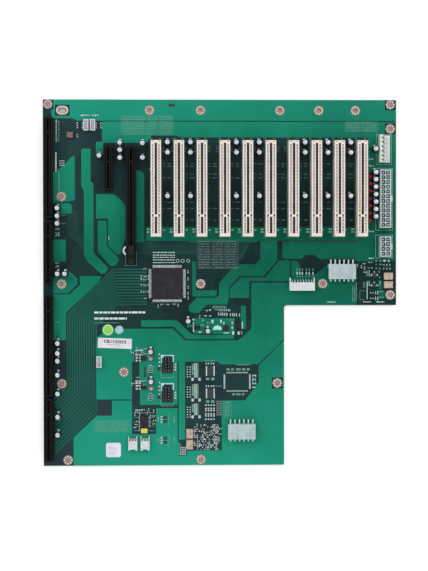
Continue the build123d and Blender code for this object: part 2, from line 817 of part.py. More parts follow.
# Jumper blocks: notched bases with two columns of bare pins
jumper_places = (from_left(110.2, 235.4), from_left(110.2, 261.4))
jumper_pin_places = []
for number, (x, y) in enumerate(jumper_places):
    half = jumper_pitch / 2
    inner = half - jumper_clip
    with BuildPart() as jumper:
        with BuildSketch(Plane.XY.offset(seat)):
            with Locations((x, y)):
                with GridLocations(jumper_pitch, jumper_pitch, 2, jumper_rows):
                    Polygon(
                        (-half, -inner),
                        (-inner, -half),
                        (inner, -half),
                        (half, -inner),
                        (half, inner),
                        (inner, half),
                        (-inner, half),
                        (-half, inner),
                    )
        extrude(amount=jumper_base_height)
    jumper.part.label = f"jumper_block_{number + 1}"
    export_step(jumper.part, f"parts/jumper_block_{number + 1}.step")
    for row in range(jumper_rows):
        for side in (-1, 1):
            pin_y = y + (row - (jumper_rows - 1) / 2) * jumper_pitch
            jumper_pin_places.append((x + side * half, pin_y))

with BuildPart() as jumper_pins:
    add(
        upright_pins(
            jumper_pin_places,
            jumper_pin,
            seat + jumper_base_height,
            seat + jumper_pin_height,
        )
    )
jumper_pins.part.label = "jumper_pins"
export_step(jumper_pins.part, "parts/jumper_pins.step")

# Round capacitors: pairs between slots, the lane slots' own, the right column and the left column
between = [(x + slot_pitch / 2) for number, x in enumerate(slot_x[:-1]) if number not in (2, 5)]
can_places = []
for x in between:
    can_places += [(x, top - 38.6), (x, top - 47.6), (x, top - 86.1)]
can_places += [from_left(68.5, drop) for drop in (39.1, 45.5, 52.3)]
can_places += [from_left(88.5, drop) for drop in (39.4, 52.2)]
can_places += [from_left(50.2, 50.5)]
can_places += [from_right(19.4, drop) for drop in (44.2, 65.0, 71.4, 78.0, 84.6, 91.2, 97.8, 104.3)]
left_drops = (96.9, 103.9, 110.4, 154.9, 216.4, 225.2, 232.0, 244.4, 261.0, 281.5, 297.4)
can_places += [from_left(13.2, drop) for drop in left_drops]
can_places += [from_left(19.7, 154.9), from_left(95.4, 224.1), from_left(95.6, 250.5)]
can_places += [from_left(128.7, 197.0), from_left(146.2, 205.7)]
with BuildPart() as capacitors:
    with BuildSketch(Plane.XY.offset(seat)):
        with Locations(*can_places):
            RegularPolygon(can_radius, can_sides)
    extrude(amount=can_height)
capacitors.part.label = "capacitors"
export_step(capacitors.part, "parts/capacitors.step")

# Round lamps with a flange and a lens that narrows at its top
lamp_groups = {
    "supply_lamps": [
        from_right(23.7, drop) for drop in (68.3, 74.7, 81.2, 87.9, 94.4, 101.0, 107.5)
    ],
    "status_lamps": [from_left(95.4, 230.6), from_left(95.7, 257.2)],
}
for name, places in lamp_groups.items():
    with BuildPart() as lamps:
        with BuildSketch(Plane.XY.offset(seat)):
            with Locations(*places):
                RegularPolygon(lamp_radius, lamp_sides)
        extrude(amount=lamp_flange_height)
        with BuildSketch(Plane.XY.offset(seat)):
            with Locations(*places):
                RegularPolygon(lamp_radius - lamp_flange, lamp_sides)
        extrude(amount=lamp_height)
        lens_rims = lamps.faces().filter_by(Plane.XY).group_by(Axis.Z)[-1].edges()
        chamfer(lens_rims, lamp_shoulder)
    lamps.part.label = name
    export_step(lamps.part, f"parts/{name}.step")

# Bridge chip with leads on four sides
bridge_place = from_left(110.2, 163.7)
with BuildPart() as bridge_chip:
    with BuildSketch(Plane.XY.offset(seat + bridge_standoff)):
        with Locations(bridge_place):
            Rectangle(bridge_side, bridge_side)
    extrude(amount=bridge_height)
    chamfer(bridge_chip.faces().sort_by(Axis.Z)[-1].edges(), bridge_chamfer)
bridge_chip.part.label = "bridge_chip"
export_step(bridge_chip.part, "parts/bridge_chip.step")

# Small surface parts: flat blocks of one height, each given by its place and plan size
surface_parts = {
    "driver_chip": (driver_height, [(from_base(89.7, 38.9), driver_width, driver_length)]),
    "coupling_blocks": (
        block_height,
        [
            (from_base(129.9, 28.3), 6.0, 8.6),
            (from_base(129.9, 18.6), 6.0, 8.6),
            (from_arm(7.0, 25.9), 8.0, 6.2),
            (from_arm(7.0, 18.3), 8.0, 6.2),
        ],
    ),
    "tantalum_capacitor": (inductor_height, [(from_base(89.5, 31.1), 5.8, 4.1)]),
    "chip_inductor": (inductor_height, [(from_left(23.9, 31.5), 5.6, 5.2)]),
    "regulator_chips": (
        regulator_height,
        [
            (from_left(137.0, 203.2), 5.0, 3.2),
            (from_left(162.5, 203.4), 5.2, 4.8),
            (from_left(173.2, 201.6), 5.2, 4.4),
            (from_left(145.3, 189.8), 3.0, 2.8),
            (from_left(150.4, 189.8), 3.0, 2.8),
            (from_left(88.8, 230.4), 4.6, 3.2),
            (from_left(88.8, 256.4), 4.6, 3.2),
        ],
    ),
}
for name, (height, blocks) in surface_parts.items():
    with BuildPart() as blocks_part:
        with BuildSketch(Plane.XY.offset(seat)):
            for place, across, along in blocks:
                with Locations(place):
                    Rectangle(across, along)
        extrude(amount=height)
        rim_edges = blocks_part.faces().filter_by(Plane.XY).group_by(Axis.Z)[-1].edges()
        chamfer(rim_edges, block_bevel)
    blocks_part.part.label = name
    export_step(blocks_part.part, f"parts/{name}.step")

# Paper labels stuck to the board
label_shapes = {
    "code_label": (from_left(63.4, 216.9), -2.2, 30.2, 9.0, code_label_corner),
    "square_label": (from_base(62.0, 13.9), 0, 13.2, 12.8, label_corner),
}
for name, (place, turn, across, along, corner) in label_shapes.items():
    with BuildPart() as label:
        with BuildSketch(Plane.XY.offset(seat)) as paper:
            with Locations(Location((*place, 0), (0, 0, turn))):
                Rectangle(across, along)
            chamfer(paper.vertices(), corner)
        extrude(amount=label_thickness)
    label.part.label = name
    export_step(label.part, f"parts/{name}.step")

dot_shapes = {
    "green_dot": (from_left(57.3, 204.9), 5.0),
    "white_dot": (from_left(67.4, 204.9), 3.75),
}
for name, (place, radius) in dot_shapes.items():
    with BuildPart() as dot:
        with BuildSketch(Plane.XY.offset(seat)):
            with Locations(place):
                RegularPolygon(radius, dot_sides)
        extrude(amount=label_thickness)
    dot.part.label = name
    export_step(dot.part, f"parts/{name}.step")
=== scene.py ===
import json
import math
import random

import bmesh
import bpy
from mathutils import Matrix, Vector


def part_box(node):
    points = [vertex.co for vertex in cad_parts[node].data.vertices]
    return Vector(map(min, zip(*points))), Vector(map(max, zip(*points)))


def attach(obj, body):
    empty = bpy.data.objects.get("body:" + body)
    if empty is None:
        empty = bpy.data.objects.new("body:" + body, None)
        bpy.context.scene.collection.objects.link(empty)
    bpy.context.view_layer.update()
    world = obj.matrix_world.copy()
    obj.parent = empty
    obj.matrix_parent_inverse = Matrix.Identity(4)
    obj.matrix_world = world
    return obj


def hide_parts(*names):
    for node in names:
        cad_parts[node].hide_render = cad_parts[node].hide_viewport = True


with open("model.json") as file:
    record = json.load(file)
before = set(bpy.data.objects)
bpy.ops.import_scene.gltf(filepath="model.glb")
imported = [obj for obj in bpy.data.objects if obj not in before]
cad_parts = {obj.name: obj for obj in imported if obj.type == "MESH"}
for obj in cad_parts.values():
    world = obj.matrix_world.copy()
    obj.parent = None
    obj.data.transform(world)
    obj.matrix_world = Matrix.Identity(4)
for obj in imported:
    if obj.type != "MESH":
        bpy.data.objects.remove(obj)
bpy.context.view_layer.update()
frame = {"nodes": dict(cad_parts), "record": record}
scene = bpy.context.scene
scene.view_settings.view_transform = "Standard"
chance = random.Random(20)
MM = 0.001


# Places are written in millimetres from the middle of the board, heights above the bench
def node_box(node):
    low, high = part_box(node)
    return low / MM, high / MM


def middle_of(node):
    low, high = node_box(node)
    return (low + high) / 2


board_low, board_high = node_box("circuit_board")
under = board_low.z
laminate_top = board_high.z
seat = node_box("copper_pours")[1].z
# Each kind of mark has its own height, so that no two tops lie in one plane
mark_foot = laminate_top - 0.01
dark_top = seat + 0.004
faint_top = seat + 0.012
grey_top = seat + 0.02
pad_top = seat + 0.028
ink_top = seat + 0.036
bright_top = seat + 0.044
ring_top = seat + 0.052
tail_top = seat + 0.06


# Modelling helpers: each returns one object with its place in its mesh
def start(operator, name, **settings):
    bpy.ops.object.select_all(action="DESELECT")
    operator(**settings)
    piece = bpy.context.object
    piece.name = name
    return piece


def settle(piece):
    piece.data.transform(piece.matrix_world)
    piece.matrix_world = Matrix.Identity(4)
    return piece


def select_only(piece):
    bpy.ops.object.select_all(action="DESELECT")
    piece.select_set(True)
    bpy.context.view_layer.objects.active = piece


def finish_with(piece, kind, **settings):
    select_only(piece)
    modifier = piece.modifiers.new(kind.title(), kind)
    for key, value in settings.items():
        setattr(modifier, key, value)
    bpy.ops.object.modifier_apply(modifier=modifier.name)
    return piece


def block(name, low, high, rounding=0.0, steps=1):
    low, high = Vector(low), Vector(high)
    piece = start(bpy.ops.mesh.primitive_cube_add, name, size=1)
    size = high - low
    middle = (low + high) / 2
    piece.data.transform(Matrix.Translation(middle * MM) @ Matrix.Diagonal((*(size * MM), 1)))
    if rounding:
        finish_with(piece, "BEVEL", width=rounding * MM, segments=steps, limit_method="ANGLE")
    return piece


def round_bar(name, radius, foot, top, sides, rounding=0.0, steps=1):
    sizes = {"vertices": sides, "radius": radius * MM, "depth": (top - foot) * MM}
    middle = (0, 0, (foot + top) / 2 * MM)
    piece = settle(start(bpy.ops.mesh.primitive_cylinder_add, name, location=middle, **sizes))
    if rounding:
        limits = {"limit_method": "ANGLE", "angle_limit": 0.7}
        finish_with(piece, "BEVEL", width=rounding * MM, segments=steps, **limits)
    return piece


def pick_faces(piece, test):
    select_only(piece)
    bpy.ops.object.mode_set(mode="EDIT")
    bpy.ops.mesh.select_mode(type="FACE")
    bpy.ops.mesh.select_all(action="DESELECT")
    bpy.ops.object.mode_set(mode="OBJECT")
    for face in piece.data.polygons:
        face.select = test(face)
    bpy.ops.object.mode_set(mode="EDIT")


def pick_all():
    bpy.ops.mesh.select_all(action="SELECT")


def edit_points():
    bpy.ops.object.mode_set(mode="EDIT")
    bpy.ops.mesh.select_mode(type="VERT")
    pick_all()


def pull_out(x=0.0, y=0.0, z=0.0):
    bpy.ops.mesh.extrude_region_move(TRANSFORM_OT_translate={"value": (x * MM, y * MM, z * MM)})


def leave_edit():
    bpy.ops.object.mode_set(mode="OBJECT")


def dress(piece, *materials):
    piece.data.materials.clear()
    for material in materials:
        piece.data.materials.append(material)
    return piece


def smooth(piece, degrees=35):
    select_only(piece)
    bpy.ops.object.shade_smooth_by_angle(angle=math.radians(degrees))
    return piece


def at(x, y, z=0.0, turn=0.0, size=(1, 1, 1)):
    place = Matrix.Translation(Vector((x, y, z)) * MM)
    return place @ Matrix.Rotation(math.radians(turn), 4, "Z") @ Matrix.Diagonal((*size, 1))


# Lays a copy of a modelled piece at every place. The copies are one object that rides on the board
def lay(name, model, places, stands_for=()):
    shape = bmesh.new()
    for place in places:
        twin = model.data.copy()
        twin.transform(place)
        shape.from_mesh(twin)
        bpy.data.meshes.remove(twin)
    mesh = bpy.data.meshes.new(name)
    shape.to_mesh(mesh)
    shape.free()
    for material in model.data.materials:
        mesh.materials.append(material)
    piece = bpy.data.objects.new(name, mesh)
    scene.collection.objects.link(piece)
    bpy.data.objects.remove(model)
    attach(piece, "backplane")
    if stands_for:
        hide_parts(*stands_for)


# Materials
def tone(red, green, blue):
    def linear(value):
        value /= 255
        return value / 12.92 if value <= 0.04045 else ((value + 0.055) / 1.055) ** 2.4

    return (linear(red), linear(green), linear(blue), 1.0)


def new_surface(name, rough, metal=0.0, coat=0.0, shine=0.5):
    material = bpy.data.materials.new(name)
    material.use_nodes = True
    shader = material.node_tree.nodes["Principled BSDF"]
    shader.inputs["Roughness"].default_value = rough
    shader.inputs["Metallic"].default_value = metal
    shader.inputs["Specular IOR Level"].default_value = shine
    if coat:
        shader.inputs["Coat Weight"].default_value = coat
        shader.inputs["Coat Roughness"].default_value = 0.15
    return material, material.node_tree, shader


def new_node(tree, kind):
    return tree.nodes.new(f"ShaderNode{kind}")


def noise_of(tree, vector, scale, detail=3.0):
    noise = new_node(tree, "TexNoise")
    noise.inputs["Scale"].default_value = scale
    noise.inputs["Detail"].default_value = detail
    tree.links.new(vector, noise.inputs["Vector"])
    return noise.outputs["Fac"]


def span(tree, value, low, high, to_low=0.0, to_high=1.0):
    ranged = new_node(tree, "MapRange")
    ranged.inputs["From Min"].default_value = low
    ranged.inputs["From Max"].default_value = high
    ranged.inputs["To Min"].default_value = to_low
    ranged.inputs["To Max"].default_value = to_high
    tree.links.new(value, ranged.inputs["Value"])
    return ranged.outputs["Result"]


def math_of(tree, kind, first, second):
    node = new_node(tree, "Math")
    node.operation = kind
    for socket, value in zip(node.inputs, (first, second)):
        if isinstance(value, (int, float)):
            socket.default_value = value
        else:
            tree.links.new(value, socket)
    return node.outputs["Value"]


def times(tree, first, second):
    return math_of(tree, "MULTIPLY", first, second)


def size_of(tree, value):
    return math_of(tree, "ABSOLUTE", value, 0)


def blend_of(tree, factor, first, second):
    node = new_node(tree, "Mix")
    node.data_type = "RGBA"
    tree.links.new(factor, node.inputs["Factor"])
    for socket, value in ((node.inputs[6], first), (node.inputs[7], second)):
        if isinstance(value, tuple):
            socket.default_value = value
        else:
            tree.links.new(value, socket)
    return node.outputs[2]


def bumped(tree, shader, height, distance):
    bump = new_node(tree, "Bump")
    bump.inputs["Distance"].default_value = distance * MM
    bump.inputs["Strength"].default_value = 1.0
    tree.links.new(height, bump.inputs["Height"])
    tree.links.new(bump.outputs["Normal"], shader.inputs["Normal"])


# A moulded, painted or metal finish: two near tones, varied gloss and a fine grain
def finish_of(name, dark, light, rough, patch=3, grain=0.3, depth=0.008, metal=0.0, coat=0.0, shine=0.5):
    material, tree, shader = new_surface(name, rough, metal, coat, shine)
    place = new_node(tree, "TexCoord").outputs["Object"]
    patches = noise_of(tree, place, 1000 / patch)
    fine = noise_of(tree, place, 1000 / grain, 4.0)
    shade = span(tree, patches, 0.35, 0.65)
    tree.links.new(blend_of(tree, shade, tone(*dark), tone(*light)), shader.inputs["Base Color"])
    gloss = span(tree, fine, 0.3, 0.7, max(rough - 0.07, 0.03), min(rough + 0.09, 1))
    tree.links.new(gloss, shader.inputs["Roughness"])
    bumped(tree, shader, fine, depth)
    return material


# Solder mask: deeper in the middle of the right side and paler towards the top left and the foot, a painted
# falloff of light and shade, with fine routed lines and small vias under it and a bare edge of glass cloth
def mask_of(name, deep, pale, track, via, track_share, rough):
    material, tree, shader = new_surface(name, rough, shine=0.08)
    texture = new_node(tree, "TexCoord")
    place = texture.outputs["Object"]
    parts = new_node(tree, "SeparateXYZ")
    tree.links.new(place, parts.inputs["Vector"])
    x, y = parts.outputs["X"], parts.outputs["Y"]
    # Painted light and shade: the tone pales away from the middle height and deepens towards the right
    from_middle = size_of(tree, math_of(tree, "SUBTRACT", y, 0.02))
    paler = times(tree, from_middle, 5.2)
    darker = times(tree, x, 1.6)
    field = math_of(tree, "SUBTRACT", paler, darker)
    patches = span(tree, noise_of(tree, place, 1000 / 42, 2.0), 0.3, 0.7, -0.06, 0.12)
    field = span(tree, math_of(tree, "ADD", field, patches), 0, 1)
    tint = blend_of(tree, field, tone(*deep), tone(*pale))
    cells = new_node(tree, "TexVoronoi")
    cells.distance = "MANHATTAN"
    cells.inputs["Scale"].default_value = 1000 / 15
    tree.links.new(place, cells.inputs["Vector"])
    draw = new_node(tree, "SeparateColor")
    tree.links.new(cells.outputs["Color"], draw.inputs["Color"])
    ways = (
        (x, 0.00, 0.22),
        (y, 0.22, 0.40),
        (math_of(tree, "ADD", x, y), 0.40, 0.58),
        (math_of(tree, "SUBTRACT", x, y), 0.58, 0.72),
    )
    tracks = None
    for along, low, high in ways:
        step = times(tree, along, 1000 / 1.4)
        wave = math_of(tree, "PINGPONG", step, 0.5)
        line = span(tree, wave, 0.12, 0.2, 1.0, 0.0)
        above = math_of(tree, "GREATER_THAN", draw.outputs[0], low)
        below = math_of(tree, "LESS_THAN", draw.outputs[0], high)
        chosen = times(tree, above, below)
        line = times(tree, line, chosen)
        tracks = line if tracks is None else math_of(tree, "ADD", tracks, line)
    shown = times(tree, tracks, track_share)
    tint = blend_of(tree, shown, tint, tone(*track))
    dots = new_node(tree, "TexVoronoi")
    dots.inputs["Scale"].default_value = 1000 / 4.2
    tree.links.new(place, dots.inputs["Vector"])
    hole = span(tree, dots.outputs["Distance"], 0.075, 0.11, 1.0, 0.0)
    lot = new_node(tree, "SeparateColor")
    tree.links.new(dots.outputs["Color"], lot.inputs["Color"])
    hole = times(tree, hole, math_of(tree, "GREATER_THAN", lot.outputs[1], 0.6))
    tint = blend_of(tree, times(tree, hole, 0.6), tint, tone(*via))
    turned = new_node(tree, "SeparateXYZ")
    tree.links.new(texture.outputs["Normal"], turned.inputs["Vector"])
    upright = size_of(tree, turned.outputs["Z"])
    edge = math_of(tree, "LESS_THAN", upright, 0.5)
    tint = blend_of(tree, edge, tint, tone(120, 128, 92))
    tree.links.new(tint, shader.inputs["Base Color"])
    weave = noise_of(tree, place, 1000 / 0.7, 2.0)
    height = math_of(tree, "ADD", times(tree, weave, 0.25), tracks)
    bumped(tree, shader, height, 0.025)
    gloss = span(tree, weave, 0.3, 0.7, rough - 0.05, rough + 0.07)
    tree.links.new(gloss, shader.inputs["Roughness"])
    return material


bare_mask = mask_of("bare_mask", (12, 36, 38), (33, 53, 59), (34, 84, 76), (70, 104, 100), 0.35, 0.42)
copper_mask = mask_of("copper_mask", (0, 88, 68), (25, 143, 117), (28, 134, 108), (44, 152, 124), 0.2, 0.38)


def lets_light_through(material, reach):
    shader = material.node_tree.nodes["Principled BSDF"]
    shader.inputs["Subsurface Weight"].default_value = 1.0
    shader.inputs["Subsurface Radius"].default_value = (1.0, 1.0, 1.0)
    shader.inputs["Subsurface Scale"].default_value = reach * MM
    return material


ivory = finish_of("ivory_moulding", (216, 207, 198), (226, 219, 211), 0.5, 9, 0.35, 0.012, shine=0.35)
black_moulding = finish_of("black_moulding", (13, 11, 13), (21, 18, 21), 0.5, 7, 0.35, 0.015, shine=0.12)
lever_black = finish_of("lever_black", (16, 14, 16), (24, 21, 24), 0.5, 5, 0.3, 0.02, shine=0.2)
milk_nylon = finish_of("milk_nylon", (166, 184, 186), (180, 197, 198), 0.42, 6, 0.4, 0.012, coat=0.1)
lets_light_through(milk_nylon, 4.0)
white_nylon = finish_of("white_nylon", (206, 211, 217), (218, 222, 228), 0.42, 5, 0.4, 0.012, coat=0.1)
lets_light_through(white_nylon, 3.0)
cream_nylon = finish_of("cream_nylon", (202, 209, 202), (214, 221, 214), 0.42, 5, 0.4, 0.012, coat=0.1)
lets_light_through(cream_nylon, 2.0)
black_base = finish_of("black_base", (22, 22, 25), (32, 32, 35), 0.48, 4, 0.3, 0.015, shine=0.25)
dull_pins = finish_of("dull_pins", (112, 108, 110), (140, 136, 138), 0.5, 2, 0.25, 0.006, metal=0.4)
tin = finish_of("tinned_metal", (196, 204, 202), (216, 222, 220), 0.36, 2, 0.25, 0.006, metal=0.55)
solder = finish_of("solder", (176, 190, 186), (204, 214, 211), 0.36, 1.5, 0.4, 0.02, metal=0.5)
gold = finish_of("gold_contact", (96, 72, 58), (124, 96, 76), 0.42, 2, 0.2, 0.004, metal=0.45, shine=0.3)
# Gold darkened by painted shade, for the contacts down in the black edge slots
shaded_gold = finish_of("shaded_contact", (50, 38, 34), (72, 56, 48), 0.5, 2, 0.2, 0.004, metal=0.35, shine=0.2)
land_tin = finish_of("land_tin", (192, 176, 164), (214, 200, 190), 0.5, 1.6, 0.3, 0.02, metal=0.25)
land_shade = finish_of("land_shade", (92, 74, 64), (122, 98, 86), 0.5, 1.5, 0.3, 0.012)
land_copper = finish_of("land_copper", (150, 100, 94), (174, 126, 118), 0.5, 1.5, 0.3, 0.012, metal=0.1)
sleeve = finish_of("capacitor_sleeve", (17, 17, 20), (26, 26, 30), 0.32, 4, 0.5, 0.01, coat=0.3)
can_metal = finish_of("can_aluminium", (184, 190, 200), (206, 210, 218), 0.38, 2, 0.15, 0.006, metal=0.45)
red_lens = finish_of("red_lens", (150, 8, 28), (184, 16, 42), 0.3, 3, 0.8, 0.004, coat=0.1, shine=0.3)
pink_lens = finish_of("pink_lens", (196, 118, 138), (214, 142, 158), 0.22, 3, 0.8, 0.004, coat=0.6)
epoxy = finish_of("chip_epoxy", (34, 33, 39), (44, 42, 49), 0.6, 6, 0.25, 0.02, shine=0.15)
cream_body = finish_of("cream_body", (158, 140, 124), (190, 174, 158), 0.45, 2.5, 0.3, 0.01, shine=0.3)
yellow_body = finish_of("yellow_body", (196, 186, 84), (212, 204, 104), 0.45, 2.5, 0.3, 0.012)
wound_core = finish_of("wound_core", (96, 72, 74), (124, 98, 98), 0.5, 2, 0.3, 0.02)
paper_white = finish_of("paper_white", (206, 203, 216), (218, 215, 228), 0.62, 6, 0.2, 0.008)
paper_blue = finish_of("paper_blue", (132, 172, 188), (168, 200, 212), 0.6, 2.4, 0.2, 0.008)
paper_green = finish_of("paper_green", (120, 190, 84), (140, 206, 100), 0.55, 4, 0.2, 0.008)
ink_bright = finish_of("ink_bright", (196, 206, 212), (212, 220, 226), 0.6)
ink_pale = finish_of("ink_pale", (150, 208, 208), (168, 222, 220), 0.6)
ink_white = finish_of("ink_white", (158, 186, 180), (186, 206, 201), 0.6)
ink_grey = finish_of("ink_grey", (84, 108, 108), (106, 130, 128), 0.6, shine=0.2)
ink_faint = finish_of("ink_faint", (86, 134, 119), (108, 154, 138), 0.6, shine=0.2)
ink_dark = finish_of("ink_dark", (17, 34, 36), (24, 43, 44), 0.5, depth=0.006)
# Black for printed bars, and also for the painted shade and shadow marks
black_print_and_shade = finish_of("black_print_and_shade", (24, 22, 28), (34, 32, 38), 0.6, depth=0.006)
# A lighter copy of the ivory moulding: a painted highlight on the rib tops
lit_ivory_rib = finish_of("lit_ivory_rib", (240, 234, 226), (248, 243, 236), 0.5, 9, 0.35, 0.012)
# Painted shade for the inside of the slot windows
painted_window_shade = finish_of("painted_window_shade", (7, 5, 5), (14, 10, 9), 0.8, 3, 0.4, 0.01, shine=0.1)
track_green = finish_of("track_green", (12, 80, 67), (34, 96, 84), 0.45, 60, 0.3, 0.006, shine=0.08)
track_dim = finish_of("track_dim", (20, 62, 58), (36, 74, 72), 0.45, 30, 0.3, 0.006, shine=0.08)
chip_brown = finish_of("chip_brown", (78, 62, 54), (104, 84, 72), 0.5, 1, 0.2, 0.01, shine=0.3)
chip_dark = finish_of("chip_dark", (24, 24, 27), (34, 34, 38), 0.42, 1, 0.2, 0.01, shine=0.3)

finishes = {
    "circuit_board": bare_mask,
    "copper_pours": copper_mask,
    "retaining_lever": lever_black,
    "bridge_chip": epoxy,
    "driver_chip": epoxy,
    "regulator_chips": epoxy,
    "coupling_blocks": cream_body,
    "tantalum_capacitor": yellow_body,
    "chip_inductor": wound_core,
    "auxiliary_header": cream_nylon,
    "jumper_pins": dull_pins,
    "code_label": paper_white,
    "square_label": paper_white,
    "white_dot": paper_blue,
    "green_dot": paper_green,
}
slot_finishes = {
    "ivory_slot": ivory,
    "black_slot": black_moulding,
    "power_nylon": milk_nylon,
    "signal_nylon": white_nylon,
    "black_base": black_base,
    "tinned_pins": tin,
}
for entry in frame["record"]["subparts"]:
    node = entry["node"]
    material = finishes.get(node) or slot_finishes.get(entry["material_slot"])
    if material:
        dress(frame["nodes"][node], material)


def join(name, pieces):
    bpy.ops.object.select_all(action="DESELECT")
    for piece in pieces:
        piece.select_set(True)
    bpy.context.view_layer.objects.active = pieces[0]
    bpy.ops.object.join()
    pieces[0].name = name
    return pieces[0]


# A strip of spring metal bent through points in the XZ plane, its width along Y
def bent_strip(name, points, width, thickness):
    piece = start(bpy.ops.mesh.primitive_plane_add, name, size=0.001)
    edit_points()
    bpy.ops.mesh.merge(type="CENTER")
    first = Vector((points[0][0], -width / 2, points[0][1])) * MM
    bpy.ops.transform.translate(value=first)
    pull_out(y=width)
    pick_all()
    for (x_old, z_old), (x_new, z_new) in zip(points, points[1:]):
        pull_out(x_new - x_old, 0, z_new - z_old)
    leave_edit()
    settle(piece)
    return finish_with(piece, "SOLIDIFY", thickness=thickness * MM, offset=0)


def flat_ring(name, outer, inner, foot, top, sides=40):
    middle = (0, 0, foot * MM)
    circle = bpy.ops.mesh.primitive_circle_add
    piece = settle(start(circle, name, vertices=sides, radius=outer * MM, location=middle))
    edit_points()
    bpy.ops.mesh.extrude_region_move()
    share = inner / outer
    bpy.ops.transform.resize(value=(share, share, 1), center_override=middle)
    pick_all()
    pull_out(z=top - foot)
    pick_all()
    bpy.ops.mesh.normals_make_consistent(inside=False)
    leave_edit()
    return piece


# The slots and where their contacts stand
long_slots = [f"expansion_slot_{number}" for number in range(1, 11)]
edge_slots = [f"host_slot_{number}" for number in range(1, 5)] + ["short_lane_slot", "long_lane_slot"]
# The long lane slot goes on past its contacts, to the ears of its lever
longest_edge_slot = 89.0
slot_pitch, long_pitch, edge_pitch = 20.32, 1.27, 1.0
long_key_from_end, edge_key_from_end = 66.5, 13.9
key_half = 1.3
long_row_shift, edge_row_shift = 2.75, 2.35
long_inset, edge_inset, edge_far_inset = 3.6, 2.6, 2.4


# Where the contacts of a slot stand along it, from its far end on, with none at the key
def rows_of(end, first, last, pitch, key_from_end):
    count = int((last - first) / pitch) + 1
    steps = [first + number * pitch for number in range(count)]
    return [end - step for step in steps if abs(step - key_from_end) > key_half]


slot_rows = {}
for node in long_slots:
    low, high = node_box(node)
    rows = rows_of(high.y, long_inset, high.y - low.y - long_inset, long_pitch, long_key_from_end)
    slot_rows[node] = ((low.x + high.x) / 2, high.y, high.z, rows)
edge_rows = {}
for node in edge_slots:
    low, high = node_box(node)
    length = min(round(high.y - low.y, 2), longest_edge_slot)
    rows = rows_of(high.y, edge_inset, length - edge_far_inset, edge_pitch, edge_key_from_end)
    edge_rows[node] = ((low.x + high.x) / 2, rows)
edge_rim = node_box("short_lane_slot")[1].z

# Ribs between the windows of the long slots, with a blind web by the end window and the key, in a lighter
# copy of the moulding as a painted highlight
for node, (x, end, rim, rows) in slot_rows.items():
    rib = dress(block("rib", (-0.62, -0.22, -1.19), (0.62, 0.22, -0.02), 0.03), lit_ivory_rib)
    places = []
    for side in (-long_row_shift, long_row_shift):
        places += [at(x + side, y + long_pitch / 2, rim) for y in rows]
        places += [at(x + side, end - 2.1, rim, size=(1, 2.8, 1))]
        places += [at(x + side, end - long_key_from_end + 1.9, rim, size=(1, 1.6, 1))]
    lay(f"{node}_ribs", rib, places)
    # A dark sheet of painted shade lines the floor and sides of each row of windows
    reach = (end - rows[-1] - 0.8) / 2
    walls = [
        block("base", (-0.62, -reach, -1.19), (0.62, reach, -1.1)),
        block("cheek", (-0.62, -reach, -1.19), (-0.58, reach, -0.08)),
        block("cheek", (0.58, -reach, -1.19), (0.62, reach, -0.08)),
    ]
    shade_liner = join("shade_liner", walls)
    middle = (end + rows[-1]) / 2
    places = [at(x + side, middle, rim) for side in (-long_row_shift, long_row_shift)]
    lay(f"{node}_shade_wells", dress(shade_liner, painted_window_shade), places)
    bends = [(0.97, -1.2), (0.72, -2.2), (0.36, -3.5), (0.5, -5.0), (0.88, -7.0)]
    spring = dress(smooth(bent_strip("spring", bends, 0.82, 0.14)), gold)
    places = [at(x, y, rim) for y in rows] + [at(x, y, rim, 180) for y in rows]
    lay(f"{node}_contacts", spring, places)

# The same in the edge slots, whose windows are closer together, with their gold contacts darkened by
# painted shade
for node, (x, rows) in edge_rows.items():
    rib = dress(block("rib", (-0.42, -0.17, -0.99), (0.42, 0.17, -0.02), 0.05), black_moulding)
    places = []
    for side in (-edge_row_shift, edge_row_shift):
        places += [at(x + side, y + edge_pitch / 2, edge_rim) for y in rows]
    lay(f"{node}_ribs", rib, places)
    bends = [(0.93, -1.4), (0.7, -2.3), (0.34, -3.4), (0.5, -4.8), (0.86, -6.6)]
    spring = dress(smooth(bent_strip("spring", bends, 0.55, 0.12)), shaded_gold)
    places = [at(x, y, edge_rim) for y in rows] + [at(x, y, edge_rim, 180) for y in rows]
    lay(f"{node}_contacts", spring, places)


# Solder joints under the board: a cone of solder with the cut tail standing out of it
def joint_model(radius, tail):
    sizes = {"vertices": 8, "radius1": radius * MM, "radius2": tail * MM, "depth": 0.5 * MM}
    piece = start(bpy.ops.mesh.primitive_cone_add, "joint", location=(0, 0, 0.25 * MM), **sizes)
    settle(piece)
    pick_faces(piece, lambda face: face.normal.z > 0.9)
    pull_out(z=0.45)
    bpy.ops.transform.resize(value=(0.6, 0.6, 1), center_override=(0, 0, 0.95 * MM))
    leave_edit()
    piece.data.transform(Matrix.Rotation(math.pi, 4, "X"))
    dress(smooth(piece), solder)
    return piece


fine_joints = []
for x, end, rim, rows in slot_rows.values():
    for number, y in enumerate(rows):
        shift = 1.27 if number % 2 else 3.81
        fine_joints += [at(x - shift, y, under), at(x + shift, y, under)]
for x, rows in edge_rows.values():
    for number, y in enumerate(rows):
        shift = 1.0 if number % 2 else 3.0
        fine_joints += [at(x + side, y, under, size=(0.7, 0.7, 1)) for side in (-shift, shift)]
lay("slot_solder_joints", joint_model(0.55, 0.22), fine_joints)


# Upright pins stand in a grid round the middle of their node, and lying ones in a row by its far edge
def pin_grid(node, columns, rows, pitch):
    middle = middle_of(node)
    return [
        (middle.x + (column - (columns - 1) / 2) * pitch, middle.y + (row - (rows - 1) / 2) * pitch)
        for column in range(columns)
        for row in range(rows)
    ]


def pin_row(node, count, pitch, inset):
    low, high = node_box(node)
    middle = (low.x + high.x) / 2
    return [(middle + (index - (count - 1) / 2) * pitch, high.y - inset) for index in range(count)]


